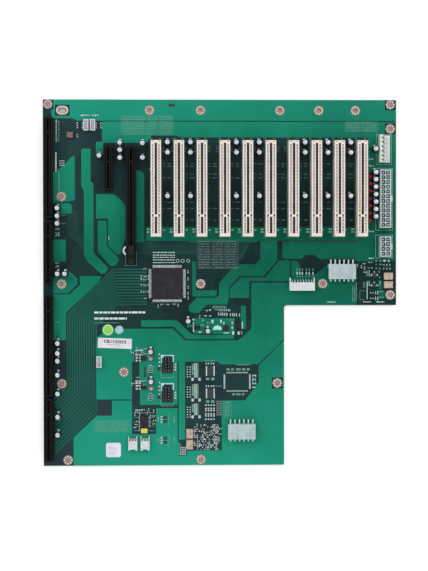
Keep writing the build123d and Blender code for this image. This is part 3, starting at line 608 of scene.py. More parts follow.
power_pitch, long_power_pitch = 4.2, 3.96
signal_pitch, sensor_pitch, jumper_pitch = 2.5, 2.0, 2.54
auxiliary_grid = pin_grid("auxiliary_pins", 1, 6, long_power_pitch)
board_joints = pin_grid("main_power_pins", 2, 12, power_pitch)
board_joints += pin_grid("processor_power_pins", 2, 4, power_pitch) + auxiliary_grid
board_joints += pin_row("signal_pins", 8, signal_pitch, 0.4)
for number in (1, 2):
    board_joints += pin_row(f"angled_power_pins_{number}", 6, long_power_pitch, 0.6)
    board_joints += pin_row(f"fan_{number}_pins", 3, signal_pitch, 0.4)
    board_joints += pin_grid(f"jumper_block_{number}", 2, 5, jumper_pitch)
for number in (1, 2, 3):
    board_joints += pin_grid(f"sensor_header_{number}", 1, 4, sensor_pitch)

# A dark patch of painted shade in the mouth of each cell of the auxiliary header
low, high = node_box("auxiliary_header")
cell_shade_patch = dress(block("cell_shade_patch", (1.6, -1.0, seat + 3.2), (3.7, 1.0, seat + 3.23), 0.01), black_print_and_shade)
lay("auxiliary_cell_shades", cell_shade_patch, [at(low.x, y) for _, y in auxiliary_grid])


# Round cans and lamps stand where the plain ones stand: the middle of each loose part of a node
def islands(node):
    mesh = frame["nodes"][node].data
    shape = bmesh.new()
    shape.from_mesh(mesh)
    bmesh.ops.remove_doubles(shape, verts=shape.verts, dist=1e-6)
    places = []
    seen = set()
    for corner in shape.verts:
        if corner in seen:
            continue
        group = []
        stack = [corner]
        seen.add(corner)
        while stack:
            here = stack.pop()
            group.append(here.co.copy())
            for edge in here.link_edges:
                other = edge.other_vert(here)
                if other not in seen:
                    seen.add(other)
                    stack.append(other)
        middle = sum(group, Vector()) / len(group) / MM
        places.append((middle.x, middle.y))
    shape.free()
    return sorted(places)


can_places = islands("capacitors")
can_top = node_box("capacitors")[1].z
can = round_bar("can", 2.5, seat, can_top, 24, 0.35, 3)
pick_faces(can, lambda face: face.normal.z > 0.99)
bpy.ops.mesh.inset(thickness=0.12 * MM)
pull_out(z=-0.25)
leave_edit()
dress(can, sleeve, ink_faint)
for face in can.data.polygons:
    if face.normal.x > 0.9:
        face.material_index = 1
smooth(can)
sleeve_places = [at(x, y, turn=90) for x, y in can_places]
lay("capacitor_sleeves", can, sleeve_places, ("capacitors",))
lid = round_bar("lid", 1.98, can_top - 0.4, can_top - 0.1, 24, 0.1, 2)
score = block("score", (-1.4, -0.06, can_top - 0.11), (1.4, 0.06, can_top - 0.085))
dress(lid, can_metal, solder)
dress(score, solder)
cross = score.copy()
cross.data = score.data.copy()
scene.collection.objects.link(cross)
cross.data.transform(Matrix.Rotation(math.pi / 2, 4, "Z"))
lid = smooth(join("lid", [lid, score, cross]))
lay("capacitor_tops", lid, [at(x, y, turn=30) for x, y in can_places])

lamp_top = node_box("supply_lamps")[1].z
lamp_places = []
for node, slot, material in (
    ("supply_lamps", "red_lens", red_lens),
    ("status_lamps", "pink_lens", pink_lens),
):
    flange = round_bar("flange", 1.85, seat, seat + 1.0, 24, 0.12, 2)
    lens = round_bar("lens", 1.7, seat + 0.9, lamp_top - 0.02, 24, 1.3, 5)
    lamp = smooth(dress(join("lamp", [flange, lens]), material), 60)
    spots = islands(node)
    lay(f"{node}_domes", lamp, [at(x, y) for x, y in spots], (node,))
    lamp_places += spots
for x, y in can_places + lamp_places:
    board_joints += [(x, y - 1.0), (x, y + 1.0)]
joint_places = [at(x, y, under) for x, y in board_joints]
lay("header_solder_joints", joint_model(0.95, 0.42), joint_places)

# Mounting holes: a tinned land with a ring of small vias, a copper rim and a plated barrel
land_spots = []
for mount in frame["record"]["mounts"]:
    x, y = (value / MM for value in mount["pos_m"][:2])
    half_x, half_y = (mount["dims"].get(f"spacing_{way}_mm", 0) / 2 for way in "xy")
    land_spots += sorted({(x - half_x, y - half_y), (x + half_x, y + half_y)})
land_places = [at(x, y) for x, y in land_spots]
for name, outer, inner, foot, top, sides, material in (
    ("mounting_lands", 3.9, 2.55, laminate_top, seat, 40, land_tin),
    ("mounting_rims", 2.57, 2.0, laminate_top, seat + 0.01, 32, land_copper),
    ("mounting_barrels", 2.0, 1.93, under - 0.03, seat + 0.02, 32, land_copper),
    ("mounting_lands_below", 3.7, 2.0, under - 0.06, under, 36, land_tin),
):
    ring = dress(flat_ring("ring", outer, inner, foot, top, sides), material)
    lay(name, ring, land_places)
# The two lands at the top corners reach the board's edge, so they have no shade round them
shade = dress(flat_ring("shade", 4.4, 3.88, laminate_top, seat + 0.004, 40), land_shade)
inner_lands = [at(x, y) for x, y in land_spots if y < board_high.y - 5]
lay("mounting_shades", shade, inner_lands)
stud = smooth(dress(round_bar("stud", 0.55, seat, seat + 0.02, 10, 0.01, 1), land_shade))
stud_places = []
for x, y in land_spots:
    for number in range(8):
        turn = math.radians(22.5 + 45 * number)
        stud_places.append(at(x + 3.2 * math.cos(turn), y + 3.2 * math.sin(turn)))
lay("mounting_vias", stud, stud_places)


# The slotted hole has a long land of the same kind
def long_ring(name, outer, inner, stretch, foot, top):
    piece = flat_ring(name, outer, inner, foot, top, 40)
    for corner in piece.data.vertices:
        if abs(corner.co.x) > 1e-6:
            corner.co.x += math.copysign(stretch * MM / 2, corner.co.x)
    return piece


long_hole = [at(-140.3, 153.5)]
long_land = dress(long_ring("long_land", 3.9, 2.5, 3.0, laminate_top, seat), land_tin)
lay("slotted_land", long_land, long_hole)
long_rim = dress(long_ring("long_rim", 2.52, 2.0, 3.0, laminate_top, seat + 0.01), land_copper)
lay("slotted_rim", long_rim, long_hole)

# Leads of the bridge chip, 52 a side, with their pads
chip_low, chip_high = node_box("bridge_chip")
chip_mid = (chip_low + chip_high) / 2
half = (chip_high.x - chip_low.x) / 2
side_leads, lead_pitch = 52, 0.5
bends = [
    (half - 0.1, seat + 1.9), (half + 0.45, seat + 1.85), (half + 0.75, seat + 0.35),
    (half + 1.35, seat + 0.13), (half + 1.75, seat + 0.11),
]
lead = dress(smooth(bent_strip("lead", bends, 0.24, 0.15)), tin)
pad = block("pad", (half + 0.5, -0.15, laminate_top), (half + 2.5, 0.15, seat + 0.02), 0.03)
dress(pad, solder)
places = []
for turn in (0, 90, 180, 270):
    side = at(chip_mid.x, chip_mid.y, turn=turn)
    places += [side @ at(0, (index - (side_leads - 1) / 2) * lead_pitch) for index in range(side_leads)]
lay("bridge_chip_leads", lead, places)
lay("bridge_chip_pads", pad, places)
dot = smooth(dress(round_bar("dot", 0.9, chip_high.z - 0.02, chip_high.z + 0.005, 24, 0.01, 1), chip_dark))
lay("bridge_chip_mark", dot, [at(chip_mid.x - 11.4, chip_mid.y + 11.4)])

# Leads of the driver chip, 8 a side
low, high = node_box("driver_chip")
middle = (low + high) / 2
reach = (high.x - low.x) / 2
bends = [
    (reach - 0.1, seat + 1.2), (reach + 0.3, seat + 1.15), (reach + 0.55, seat + 0.2),
    (reach + 1.4, seat + 0.11),
]
lead = dress(smooth(bent_strip("lead", bends, 0.42, 0.2)), tin)
places = []
for turn in (0, 180):
    places += [at(middle.x, middle.y + (index - 3.5) * 1.27, turn=turn) for index in range(8)]
lay("driver_chip_leads", lead, places)


# Small chip parts: a body between two metal ends
def chip_part(name, body_material, height):
    length, width = 1.6, 0.8
    low = (-length / 2 + 0.2, -width / 2, seat + 0.02)
    high = (length / 2 - 0.2, width / 2, seat + height)
    pieces = [dress(block("body", low, high, 0.05), body_material)]
    for side in (-1, 1):
        inner, outer = side * (length / 2 - 0.32), side * length / 2
        low = (min(inner, outer), -width / 2 - 0.03, seat)
        high = (max(inner, outer), width / 2 + 0.03, seat + height + 0.03)
        pieces.append(dress(block("end", low, high, 0.06, 2), tin))
        low = (outer - 0.45, -width / 2 - 0.12, laminate_top)
        high = (outer + 0.45, width / 2 + 0.12, seat + 0.03)
        pieces.append(dress(block("foot", low, high, 0.03), solder))
    return join(name, pieces)


# Random places on a 0.4 mm grid, each apart from the others
def scattered(count, x_range, y_range, step, turns=(0, 90)):
    spots = []
    tries = 0
    while len(spots) < count and tries < count * 60:
        tries += 1
        x = round(chance.uniform(*x_range) / 0.4) * 0.4
        y = round(chance.uniform(*y_range) / 0.4) * 0.4
        if all(abs(x - a) > step or abs(y - b) > step for a, b, _ in spots):
            spots.append((x, y, chance.choice(turns)))
    return spots


cap_spots = [
    (-18.4, -30.2, 90), (-15.6, -33.2, 90), (-16.2, -38.0, 0), (-10.6, -35.8, 0), (-13.2, -43.6, 0),
    (2.6, -39.6, 90), (10.8, -38.2, 90), (19.0, -44.6, 90),
    (-28.8, 9.8, 90), (-28.8, 3.4, 90), (-28.6, -4.0, 90), (-28.8, -9.6, 90), (-28.6, -13.6, 90),
    (-67.2, 12.5, 0), (-67.0, 5.4, 0), (-67.4, 2.8, 0), (-67.2, -2.2, 0), (-67.4, -8.0, 0),
    (-66.8, -13.8, 0), (-52.2, -19.2, 0), (-46.8, -19.4, 0), (-41.2, -19.0, 0), (-37.6, -20.2, 90),
    (-55.4, -21.0, 90), (-144.6, 48.0, 0), (-144.6, 43.2, 0), (-144.8, 15.2, 0),
    (-99.2, 40.0, 90), (-61.4, 101.2, 0), (-127.0, 131.0, 90),
]
cap_spots += scattered(26, (-77, -58), (-131, -113), 2.3)
cap_spots += scattered(22, (-30, 0), (-149, -127), 2.4)
cap_spots += scattered(5, (122, 130), (9, 18), 2.8)
cap_spots += scattered(10, (-80, -60), (-66, -58), 2.4)
cap_spots += scattered(10, (-80, -60), (-92, -84), 2.4)

# Chip parts keep clear of the coupling blocks and other larger pieces, of the cans and of the lands
piece_room, can_room, land_room = 1.4, 3.9, 5.2
taken = [(-31, -149.5, -24.5, -130), (146, -6, 155, 9.5)]
for node in ("driver_chip", "tantalum_capacitor", "bridge_chip", "angled_power_header_1"):
    low, high = node_box(node)
    taken.append((low.x, low.y, high.x, high.y))


def is_free(x, y):
    for x_low, y_low, x_high, y_high in taken:
        if x_low - piece_room < x < x_high + piece_room and y_low - piece_room < y < y_high + piece_room:
            return False
    by_can = any(math.hypot(x - a, y - b) < can_room for a, b in can_places)
    return not by_can and all(math.hypot(x - a, y - b) >= land_room for a, b in land_spots)


places = [at(x, y, turn=turn) for x, y, turn in cap_spots if is_free(x, y)]
lay("chip_capacitors", chip_part("ceramic", chip_brown, 0.7), places[1::2])
lay("chip_resistors", chip_part("resistor", chip_dark, 0.45), places[::2])


# Printed marks, bare pads and tracks are thin blocks of 1 by 1 mm on the board, stretched to the width
# and height of each. Four heights in turn keep crossing ones apart
def mark_model(material, top):
    return dress(block("mark", (-0.5, -0.5, mark_foot), (0.5, 0.5, top)), material)


def bars(spots):
    places = []
    for number, (x, y, width, height, *turned) in enumerate(spots):
        turn = turned[0] if turned else 0
        places.append(at(x, y, 0.002 * (number % 4), turn, (width, height, 1)))
    return places


def outline_bars(x_low, x_high, y_low, y_high, line):
    x_mid, y_mid = (x_low + x_high) / 2, (y_low + y_high) / 2
    wide, high = x_high - x_low, y_high - y_low
    return [
        (x_mid, y_low, wide, line), (x_mid, y_high, wide, line),
        (x_low, y_mid, line, high), (x_high, y_mid, line, high),
    ]


# A row of short bars, as wide as words but saying nothing
def word_bars(x, y, width, height, along="x", gap=0.5):
    spots = []
    reach = 0.0
    while reach < width:
        word = min(chance.choice((0.7, 1.1, 1.6, 2.3)) * height, width - reach)
        if word < 0.25:
            break
        if along == "x":
            spots.append((x + reach + word / 2, y, word, height * 0.7))
        else:
            spots.append((x, y - reach - word / 2, height * 0.7, word))
        reach += word + gap * height
    return spots


# Marks of one ink, bare pads and small pours: middle, width and height of each
white, bright, pale, faint, grey, dark, pads, pours = ([] for _ in range(8))

# Tables near the top edge, above the lower rows of slots and by the driver chip
for x_low, x_high, y_low, y_high, rows, columns, spots in (
    (-88, -42, 132, 148.5, 8, (-66, -54), faint),
    (112, 141, 135, 143.5, 4, (126,), faint),
    (-112, -81, -133, -123, 5, (-100,), faint),
    (3, 10, -120, -106, 6, (), faint),
    (-20, 16, 12.5, 38, 11, (-8, 4), grey),
):
    spots += outline_bars(x_low, x_high, y_low, y_high, 0.22)
    for column in columns:
        spots.append((column, (y_low + y_high) / 2, 0.18, y_high - y_low))
    step = (y_high - y_low) / rows
    for row in range(rows):
        y = y_high - (row + 0.5) * step
        edges = [x_low, *columns, x_high]
        for x_from, x_to in zip(edges, edges[1:]):
            spots += word_bars(x_from + 1, y, (x_to - x_from) - 2.2, min(step * 0.5, 1.3))
        if row:
            spots.append(((x_low + x_high) / 2, y_high - row * step, x_high - x_low, 0.12))

# Marks round the slots: short rows in each gap and small ones at the ends
for number, node in enumerate(long_slots):
    x, end, rim, rows = slot_rows[node]
    gap_x = x + slot_pitch / 2
    for y in (106.2, 104.0, 97.0, 93.6, 72.0, 66.3, 56.0):
        if number < 9 and chance.random() < 0.8:
            grey.append((gap_x - 3.2, y, chance.uniform(1.4, 2.6), 0.5))
            grey.append((gap_x + 1.6, y - 0.2, chance.uniform(2.2, 4.2), 0.7))
    if number < 9:
        for y in (121.2, 119.2, 117.0):
            grey += word_bars(gap_x - 4.6, y, 2.4, 1.2)
            grey += word_bars(gap_x + 2.6, y, 2.2, 1.2)
    grey += word_bars(x - 5.4, 128.4, 2.6, 1.2)
    grey += word_bars(x + 2.4, 128.4, 2.4, 1.2)
    faint += outline_bars(x - 5.2, x + 5.2, end - 85.6, end + 1.1, 0.2)
    white += word_bars(x - 8.3, 47.6, 2.6, 1.4)
    white += word_bars(x - 8.3, 45.2, 2.6, 1.4)
    white += word_bars(x + 5.9, 47.0, 2.2, 1.3)


# Routed tracks: a bundle from the bridge chip down to the lowest host slot, and shorter ones.
# Each leg of a track is a mark with a turn as its fifth value
def route(points, width):
    legs = []
    for (x_from, y_from), (x_to, y_to) in zip(points, points[1:]):
        length = math.hypot(x_to - x_from, y_to - y_from)
        turn = math.degrees(math.atan2(y_to - y_from, x_to - x_from))
        legs.append(((x_from + x_to) / 2, (y_from + y_to) / 2, length + width * 0.6, width, turn))
    return legs


track_spots = []
dim_spots = []
for number in range(13):
    x, shift, level = -136.0 + number * 2.12, 107.5 - number * 2.95, 12.0 - number * 2.6
    low_turn = -92.0 - number * 1.9
    track_spots += route([(-66.0, level), (level - shift, level), (x, x + shift), (x, low_turn)], 1.3)
    track_spots += route([(x, low_turn), (-146.5, low_turn - x - 146.5)], 2.0)
for number in range(8):
    y = 37.4 - number * 1.6
    dim_spots += route([(-74.0, y), (-20.4, y)], 0.75)
    dim_spots += route([(16.4, y - 1), (27 - number * 0.9, y - 1), (22 - number * 0.9, y - 6)], 0.6)
for number in range(5):
    x = -135.2 + number * 1.9
    dim_spots += route([(x + 14, 30.0), (x, 44.0), (x, 68.0 - number)], 0.8)
for number in range(6):
    y = 131.0 - number * 3.2
    dim_spots += route([(-113.0, y), (-124.0, y), (-137.0, y - 13.0), (-146.0, y - 13.0)], 0.5)
    dim_spots += route([(-96.0 + number * 1.5, 96.0), (-96.0 + number * 1.5, 78.0 + number)], 0.5)
for number in range(9):
    x = slot_rows[long_slots[number]][0] + slot_pitch / 2
    for y in range(52, 120, 22):
        dim_spots += route([(x - 5.2, y), (x - 1.5, y), (x + 1.5, y + 3.0), (x + 5.2, y + 3.0)], 0.25)

# Marks of the left edge
white += [(-146.0, 107.5, 1.3, 17)]
faint += [(-143.3, 90, 0.8, 17)]
white += word_bars(-145.6, 145, 20, 1.4, "y")
faint += word_bars(-143.4, 144, 18, 1.2, "y")
for y in (104.5, 106.5, 108.5):
    pads += [(x, y, 0.9, 0.9) for x in (-142.3, -140.6, -139.0)]
white += word_bars(-124, 149, 8, 1.6) + word_bars(-114, 149, 6.5, 1.6)
for x in (-127.0, -122.4, -110.2, -106.0):
    pads += [(x, y, 1.2, 0.9) for y in (138.0, 140.0, 142.0)]
for y in (74.8, 64.4, 50.2, 47.8, 44.6, 41.8, 17.6, 14.0, -35, -62, -97, -122):
    faint += word_bars(-147, y, 4.2, 1.4)
for y in (66.8, 60.2, 53.0):
    faint.append((-139.4, y, 4.2, 0.4))

# Round the bridge chip
for y in (27.0, 24.6, 22.6, 20.4, 18.0, 15.0, 13.6):
    white += word_bars(-60, y, 20, 1.1)
pads += [(x, y, 0.9, 1.4) for x in (-70.4, -64.2) for y in (6.0, 3.4, -1.8, -7.8)]
white += [
    (-24, -40.5, 0.9, 7), (5.5, -45, 5, 0.9), (19.7, -38, 0.9, 6), (-7, -34, 2.4, 0.8),
    (-12.0, -25.0, 2.1, 1.1), (-9.2, -24.4, 1.6, 1.3), (-13.2, -29.6, 2.4, 0.8),
    (-9.1, -29.6, 2.0, 0.8), (-7.0, -34.7, 1.8, 3.2), (0.6, -34.5, 1.3, 2.9),
    (3.2, -36.4, 1.1, 2.3), (10.7, -35.7, 1.4, 1.4), (10.7, -40.4, 1.4, 1.4),
    (11.5, -45.0, 1.8, 3.0), (16.4, -45.0, 1.8, 2.8), (-24.1, -32.9, 1.5, 1.5),
    (-24.1, -35.9, 1.3, 1.2), (-18.2, -44.0, 2.6, 1.3),
]
for x in (-1.4325, 0.595, 2.217, 4.0012, 5.8665, 9.1105, 11.138, 12.76, 14.5442, 17.2205):
    white.append((x, -28.0 - (x + 1.4325) * 0.049322, 0.75, 2.6))
for x in (-0.216, 1.5682, 3.4335, 5.2988, 7.083, 8.5428):
    white.append((x, -24.6, 0.65, 1.9))
for y in (-21.2, -22.6):
    faint += word_bars(-7.0, y, 12.5, 1.2, gap=0.3)
faint += word_bars(-5.0, -24.2, 4.2, 1.2, gap=0.3) + word_bars(6.3, -33.2, 6.0, 1.2)
pours += [(-5.45, -38.65, 36.5, 13.9), (-26.75, -38.35, 6.1, 2.9), (20.65, -31.05, 4.5, 20.7)]

# Round the jumper blocks and in the lower half
for y in (-64.2, -89.4):
    dark.append((-47.2, y - 9.4, 8.0, 14.8))
    pale += [(-47.3, y - 0.7, 11.6, 1.2), (-52.6, y - 4.2, 1.0, 6.4)]
    pale += [(-42.0, y - 3.6, 1.0, 5.6), (-51.4, y - 1.9, 1.6, 1.4)]
    faint += [(-52.9, y - 13.6, 0.5, 13.4), (-41.8, y - 13.6, 0.5, 13.4)]
    faint += [(-47.3, y - 20.5, 11.4, 0.5)]
    pads += [(-54.5, y + 0.4 - index * 3.5, 1.3, 1.3) for index in range(4)]
    pads += [(-40.2, y - 8.6 - index * 2.4, 1.5, 1.4) for index in range(3)]
    pads += [(x, y - row * 2.6, 1.7, 1.5) for x in (-74.6, -71.6) for row in range(3)]
    dark += [(-73.2, y - 2.0, 7.4, 8.6), (-68.2, y - 3.6, 4.6, 4.0)]
    dark += [(-62.2, y + 3.6, 4.6, 3.6), (-54.6, y - 12.6, 3.6, 3.6)]
    faint += [(x, y - 12.8, 1.0, 5.6) for x in (-64.4, -60.6)]
    white += [(x, y - row * 2.1 - 9.6, 0.8, 0.8) for x in (-63.2, -61.8) for row in range(4)]
dark += [(-67.4, -79.5, 1.8, 9.5), (-62.5, -78.5, 2.2, 7.4), (-62.5, -103.0, 2.2, 7.4)]
for y_low, y_high in ((-85, -75), (-103, -94), (-121, -112)):
    rows = [y_low + 1 + index * 2.2 for index in range(5)]
    white += [(x, y, 1.0, 1.0) for x in (-29.4, -27.0) for y in rows]
for index in range(26):
    pads += [(x, -82.2 - index * 0.5, 1.5, 0.36) for x in (3.6, 26.4)]
    pads += [(5.6 + index * 0.75, y, 0.4, 1.2) for y in (-80.4, -96.8)]
for y in (-83, -86.5, -90, -93.5):
    white += word_bars(28.5, y, 3.6, 1.2)
for row in range(13):
    y = -127.2 - row * 1.8
    for column in range(15):
        if chance.random() < 0.5:
            size = chance.choice((0.7, 0.9, 1.2))
            pads.append((-23.4 + column * 1.5, y, size, size))
for y in (-131, -141):
    for row in range(3):
        columns = [-6 + row * 0.8 + column * 1.7 for column in range(4 - row)]
        pads += [(x, y - row * 1.5, 0.8, 0.8) for x in columns]
# The dark field at the right, with its two small regulators
faint += [
    (139.7, 19.1, 1.1, 1.7), (143.6, 19.1, 1.1, 1.7), (139.7, 16.1, 1.0, 1.2),
    (143.1, 16.1, 1.0, 1.2), (144.7, 16.1, 0.8, 1.2), (139.7, 12.4, 1.1, 1.6),
    (143.1, 12.4, 1.1, 1.6), (133.3, 18.0, 2.5, 1.0), (133.3, 13.0, 2.5, 0.7),
    (130.9, 8.0, 0.5, 4.9), (131.9, 8.0, 0.5, 4.9), (128.4, -2.1, 0.4, 4.9),
    (129.4, -2.1, 0.4, 4.9), (144.2, -8.2, 4.5, 0.7),
    (144.2, -13.3, 4.5, 0.7), (142.2, 9.4, 0.8, 2.2), (142.8, 4.6, 0.8, 1.7),
    (143.1, -0.9, 0.9, 3.9), (118.6, -10.0, 0.5, 14.0), (120.3, -10.0, 0.5, 14.0),
    (121.9, -8.0, 0.5, 16.0), (127.2, -7.4, 4.6, 0.3), (127.2, -15.6, 4.6, 0.3),
    (125.0, -11.5, 0.3, 8.0),
]
white += [(147.2, 19.4, 2.2, 1.6), (150.9, 19.1, 1.3, 1.7)]
for y, places in ((15.8, (146.7, 149.2, 151.9)), (12.2, (146.5, 149.2, 152.0))):
    white += [(x, y, 0.7, 1.1) for x in places]
white += [(135.8, y, 0.7, 1.0) for y in (18.0, 13.0)]
white += [(133.4, 8.0, 0.5, 5.6), (138.0, 9.4, 1.1, 0.8), (135.4, 6.7, 1.3, 1.3), (140.7, 6.7, 1.3, 1.3)]
white += [(138.0, 0.2, 1.1, 0.8), (135.4, -2.6, 1.3, 1.3), (140.7, -2.6, 1.3, 1.3)]
white += [(131.6, -2.1, 0.7, 5.6), (133.4, -0.9, 0.6, 4.5), (131.6, -10.1, 0.7, 10.0)]
white += [(x, y, 0.9, 0.9) for y in (-9.3, -14.3) for x in (134.8, 136.9)]
white += [(x, y, 0.6, 3.1) for y in (-9.3, -14.3) for x in (139.2, 141.1)]
dark += [(137.9, 6.9, 4.1, 3.9), (137.9, -2.3, 4.1, 3.9), (149.2, 13.9, 6.7, 1.1)]
pours += [(143.4, -2.2, 3.4, 8.4), (144.6, -10.8, 5.2, 7.6)]
for x in (68.7, 71.0, 73.4, 77.0, 79.6, 83.0):
    white.append((x, 8.2, 0.9, 2.4))
    faint += [(x, 11.6, 0.7, 2.2), (x, 5.4, 1.4, 0.7)]
for y_low, y_high in ((-87.5, -71.5), (-106.0, -90.0), (-121.0, -107.6)):
    y, height = (y_low + y_high) / 2, y_high - y_low
    pads += [(-22.9, y + 1.2, 0.8, height - 3), (-21.6, y + 1.2, 0.8, height - 3)]
    faint += [(-20.2, y + 1.2, 1.2, height - 3), (-24.6, y + 2.2, 1.6, height - 6)]
    pads += [(x, y_low + 1.2, 2.0, 2.6) for x in (-24.8, -18.6)]
for y in (-78.8, -99.0):
    pads += [(x, y, 1.1, 8.8) for x in (-12.4, -5.6)]
    dark.append((-9.0, y, 5.2, 8.8))
    pads += [(x, y + 6.6, 1.1, 1.3) for x in (-12.6, -10.6, -8.0, -6.2)]
    faint += [(x, y - 7.2, 3.0, 2.2) for x in (-11.4, -6.8)]
for row in range(6):
    shift = 0.6 if row % 2 else 0.0
    pads += [(-13.0 + column * 2.4, -109.4 - row * 2.4 - shift, 1.3, 1.3) for column in range(4)]
for row in range(8):
    pads += [(-3.0 + column * 1.7, -106.0 - row * 1.7, 0.7, 0.7) for column in range(3)]
# Two small regulators beside the fan headers and a cluster of pads by the lowest coupling block
for y in (-122.1, -140.7):
    dark += [(-49.3, y + 1.8, 3.6, 2.6), (-49.3, y - 1.8, 3.6, 2.6)]
    pads += [(-52.6, y + row * 2.3, 1.7, 1.1) for row in (-1, 0, 1)]
    faint += [(-46.0, y + row * 1.9, 0.9, 0.9) for row in range(-3, 4)]
    faint += [(-41.2, y, 1.0, 5.6), (-55.4, y + 0.4, 1.1, 4.6)]
dark.append((-33.4, -150.2, 7.0, 8.8))
pads += [(x, -147.4 - row * 1.9, 1.2, 1.1) for x in (-35.6, -33.6, -31.6) for row in range(4)]
for x, y, width, height in (
    (5.5, -77.5, 6.4, 2.6), (14.0, -77.5, 12.4, 2.6), (14.0, -73.4, 13.0, 1.1), (10.4, -99.8, 11.0, 2.4),
    (-5.4, -92.4, 6.4, 1.2), (-14.0, -69.6, 9.0, 1.0),
):
    faint += word_bars(x, y, width, height)
faint += word_bars(29.0, -82.0, 10.0, 1.4, "y") + word_bars(31.4, -82.0, 10.0, 1.4, "y")
bright += word_bars(-112.3, -26.4, 45.4, 2.4, gap=0.3) + word_bars(-112.3, -31.8, 29.0, 2.4, gap=0.3)
faint += word_bars(-112.3, -35.6, 22.0, 0.9)
for y in (-116, -120, -124, -128, -132):
    faint += word_bars(-77, y, 18, 0.9)
for y in (-60.5, -64, -87.5, -113.5):
    white += word_bars(-76, y, 7, 1.2)
for x in (96, 128, 140):
    white += word_bars(x, -17.5, 7, 1.3)
for y in (110.2, 104.2, 45.6, 21.6):
    white += word_bars(133, y, 4.6, 1.3)
white += outline_bars(139.2, 154.4, 46.8, 102.0, 0.25)
white += outline_bars(139.2, 154.4, 22.0, 42.4, 0.25)
white += outline_bars(139.8, 153.2, 105.6, 132.4, 0.25)
faint += [(-84.4, 21.5, 0.25, 12), (-74.6, 21.5, 0.25, 12), (-79.5, 15.4, 10, 0.25)]
dark += [(-43.1, 158, 6.2, 2.6), (86.5, 37.5, 73, 0.5)]
for column in range(7):
    dark.append((-109.4 + column * 2.1, -111.8, 0.35, 13.2))
    dark.append((-103.4, -105.4 - column * 2.1, 13.2, 0.35))
for name, spots, material, top, slot in (
    ("routed_tracks", track_spots, track_green, laminate_top + 0.03, "laminate"),
    ("dim_tracks", dim_spots, track_dim, laminate_top + 0.02, "laminate"),
    ("printed_marks", white, ink_white, ink_top, "white_label"),
    ("faint_marks", faint, ink_faint, faint_top, "white_label"),
    ("bright_marks", bright, ink_bright, bright_top, "white_label"),
    ("grey_marks", grey, ink_grey, grey_top, "white_label"),
    ("pale_marks", pale, ink_pale, bright_top, "white_label"),
    ("dark_marks", dark, ink_dark, dark_top, "chip_epoxy"),
    ("small_pours", pours, copper_mask, seat - 0.01, "laminate"),
    ("bare_pads", pads, solder, pad_top, "tinned_pins"),
):
    lay(name, mark_model(material, top), bars(spots))

# White tails printed round the cans, and dark rings of painted shadow round their feet
ring = dress(flat_ring("ring", 3.15, 2.52, laminate_top, ring_top, 28), black_print_and_shade)
lay("can_shadow_rings", ring, [at(x, y) for x, y in can_places])
tail = dress(block("tail", (-1.0, 2.5, laminate_top), (1.0, 4.1, tail_top), 0.02), ink_bright)
lay("can_tails", tail, [at(x, y) for x, y in can_places])


# A printed ring with the faces that the test picks cut away and its ends closed
def cut_ring(outer, inner, sides, material, test):
    piece = dress(flat_ring("ring", outer, inner, laminate_top, ink_top, sides), material)
    pick_faces(piece, test)
    bpy.ops.mesh.delete(type="FACE")
    pick_all()
    bpy.ops.mesh.fill_holes(sides=0)
    leave_edit()
    return piece


crescent = cut_ring(4.6, 3.0, 40, ink_bright, lambda face: face.center.x > -1.6 * MM)
lay("lever_crescent", crescent, [at(-82.4, 28.6)])
half_moon = cut_ring(4.0, 0.5, 48, ink_pale, lambda face: face.center.y < 0)
lay("regulator_half_moon", half_moon, [at(-2.65, -42.2)])
ring = dress(flat_ring("ring", 1.6, 1.2, laminate_top, ink_top, 24), ink_white)
lay("test_rings", ring, [at(x, 19.5) for x in (-38, -33.5, -28.5)])

# Labels: plain bars on the long one, faint strokes on the square one, a ring on each dot
label_x, label_y, _ = middle_of("code_label")
label_top = node_box("code_label")[1].z
label_turn = -2.2
bar_spots = []
reach = -9.4
while reach < 9.2:
    width = chance.choice((0.3, 0.4, 0.6, 0.9))
    bar_spots.append((reach + width / 2, 1.5, width, 3.0))
    reach += width + chance.choice((0.35, 0.5, 0.7))
for x in range(8):
    bar_spots.append((-6.0 + x * 1.5, -1.4, 0.9, 0.5))
bar_model = dress(block("bar_model", (-0.5, -0.5, label_top), (0.5, 0.5, label_top + 0.01)), black_print_and_shade)
label_place = at(label_x, label_y, turn=label_turn)
places = [label_place @ at(x, y, size=(width, height, 1)) for x, y, width, height in bar_spots]
lay("code_bars", bar_model, places)
label_x, label_y, _ = middle_of("square_label")
strokes = [(-3.4, 1.6, 0.3, 2.6), (-1.6, 1.4, 0.3, 2.2), (0.6, 1.8, 1.6, 0.3), (2.2, 1.2, 0.3, 2.4)]
strokes += [(-2.6, -2.4, 1.8, 0.3), (0.2, -2.6, 0.3, 2.2), (2.4, -2.4, 1.4, 0.3)]
stroke_model = block("stroke_model", (-0.5, -0.5, label_top), (0.5, 0.5, label_top + 0.008))
dress(stroke_model, ink_faint)
places = [at(label_x + x, label_y + y, turn=-8, size=(width, height, 1)) for x, y, width, height in strokes]
lay("square_label_strokes", stroke_model, places)
for node, outer in (("green_dot", 4.3), ("white_dot", 3.1)):
    x, y, _ = middle_of(node)
    ring = flat_ring("ring", outer, outer - 0.35, label_top - 0.01, label_top + 0.008, 40)
    dress(ring, paper_white if node == "green_dot" else ink_faint)
    lay(f"{node}_ring", ring, [at(x, y)])

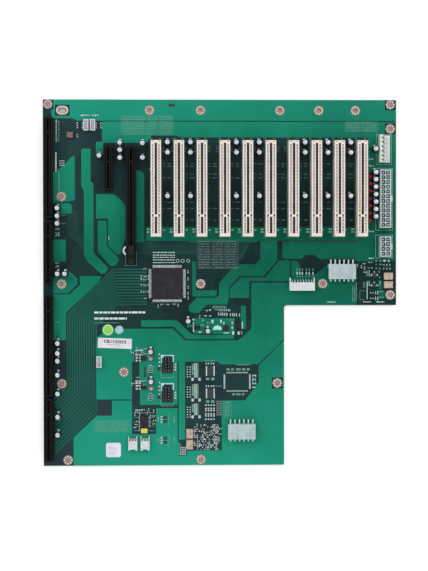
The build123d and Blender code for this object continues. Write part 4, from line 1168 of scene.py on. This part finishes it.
# Floor, with a glow beside the board and in its notch alone, light and camera
notch_x, notch_y = 57.0, -20.0
floor = start(bpy.ops.mesh.primitive_plane_add, "floor", size=6)
material, tree, shader = new_surface("floor_paint", 0.7)
shader.inputs["Base Color"].default_value = (0.9, 0.9, 0.9, 1)
ray = new_node(tree, "LightPath")
seen = math_of(tree, "MAXIMUM", ray.outputs["Is Camera Ray"], ray.outputs["Is Glossy Ray"])
parts = new_node(tree, "SeparateXYZ")
tree.links.new(new_node(tree, "TexCoord").outputs["Object"], parts.inputs["Vector"])
x, y = parts.outputs["X"], parts.outputs["Y"]
beside = math_of(tree, "GREATER_THAN", size_of(tree, x), board_high.x * MM)
beyond = math_of(tree, "GREATER_THAN", size_of(tree, y), board_high.y * MM)
right = math_of(tree, "GREATER_THAN", x, notch_x * MM)
below = math_of(tree, "LESS_THAN", y, notch_y * MM)
in_notch = times(tree, right, below)
clear_of_board = math_of(tree, "MAXIMUM", math_of(tree, "MAXIMUM", beside, beyond), in_notch)
glow = times(tree, times(tree, seen, clear_of_board), 0.22)
shader.inputs["Emission Color"].default_value = (1, 1, 1, 1)
tree.links.new(glow, shader.inputs["Emission Strength"])
dress(floor, material)

world = bpy.data.worlds.new("studio")
scene.world = world
world.use_nodes = True
world.node_tree.nodes["Background"].inputs["Color"].default_value = (1, 1, 1, 1)
world.node_tree.nodes["Background"].inputs["Strength"].default_value = 0.52
lamp_size = 1.2
for place, power in (((-0.9, 0.7, 1.3), 10), ((0.9, 0.5, 1.4), 8), ((0.0, -1.1, 1.3), 8)):
    bpy.ops.object.light_add(type="AREA", location=place)
    lamp = bpy.context.object
    lamp.data.shape = "DISK"
    lamp.data.size = lamp_size
    lamp.data.energy = power
    lamp.rotation_euler = (-Vector(place)).to_track_quat("-Z", "Y").to_euler()

# The camera's place, turn and focal length put the slot tops and the holes where the photograph has them
photo_height = 571
focal_pixels = 1401.155
sensor = 36.0
camera_place = Vector((-41.64, 13.11, laminate_top + 1250.0))
camera_turn = Vector((0.71552, 1.65278, 0.08380)) * math.pi / 180
to_camera = Matrix.Rotation(camera_turn.length, 3, camera_turn.normalized())
lens_data = bpy.data.cameras.new("photo_camera")
lens_data.sensor_fit = "VERTICAL"
lens_data.sensor_height = sensor
lens_data.lens = sensor * focal_pixels / photo_height
lens_data.clip_end = 20
camera = bpy.data.objects.new("photo_camera", lens_data)
scene.collection.objects.link(camera)
camera.matrix_world = Matrix.Translation(camera_place * MM) @ to_camera.transposed().to_4x4()
scene.camera = camera
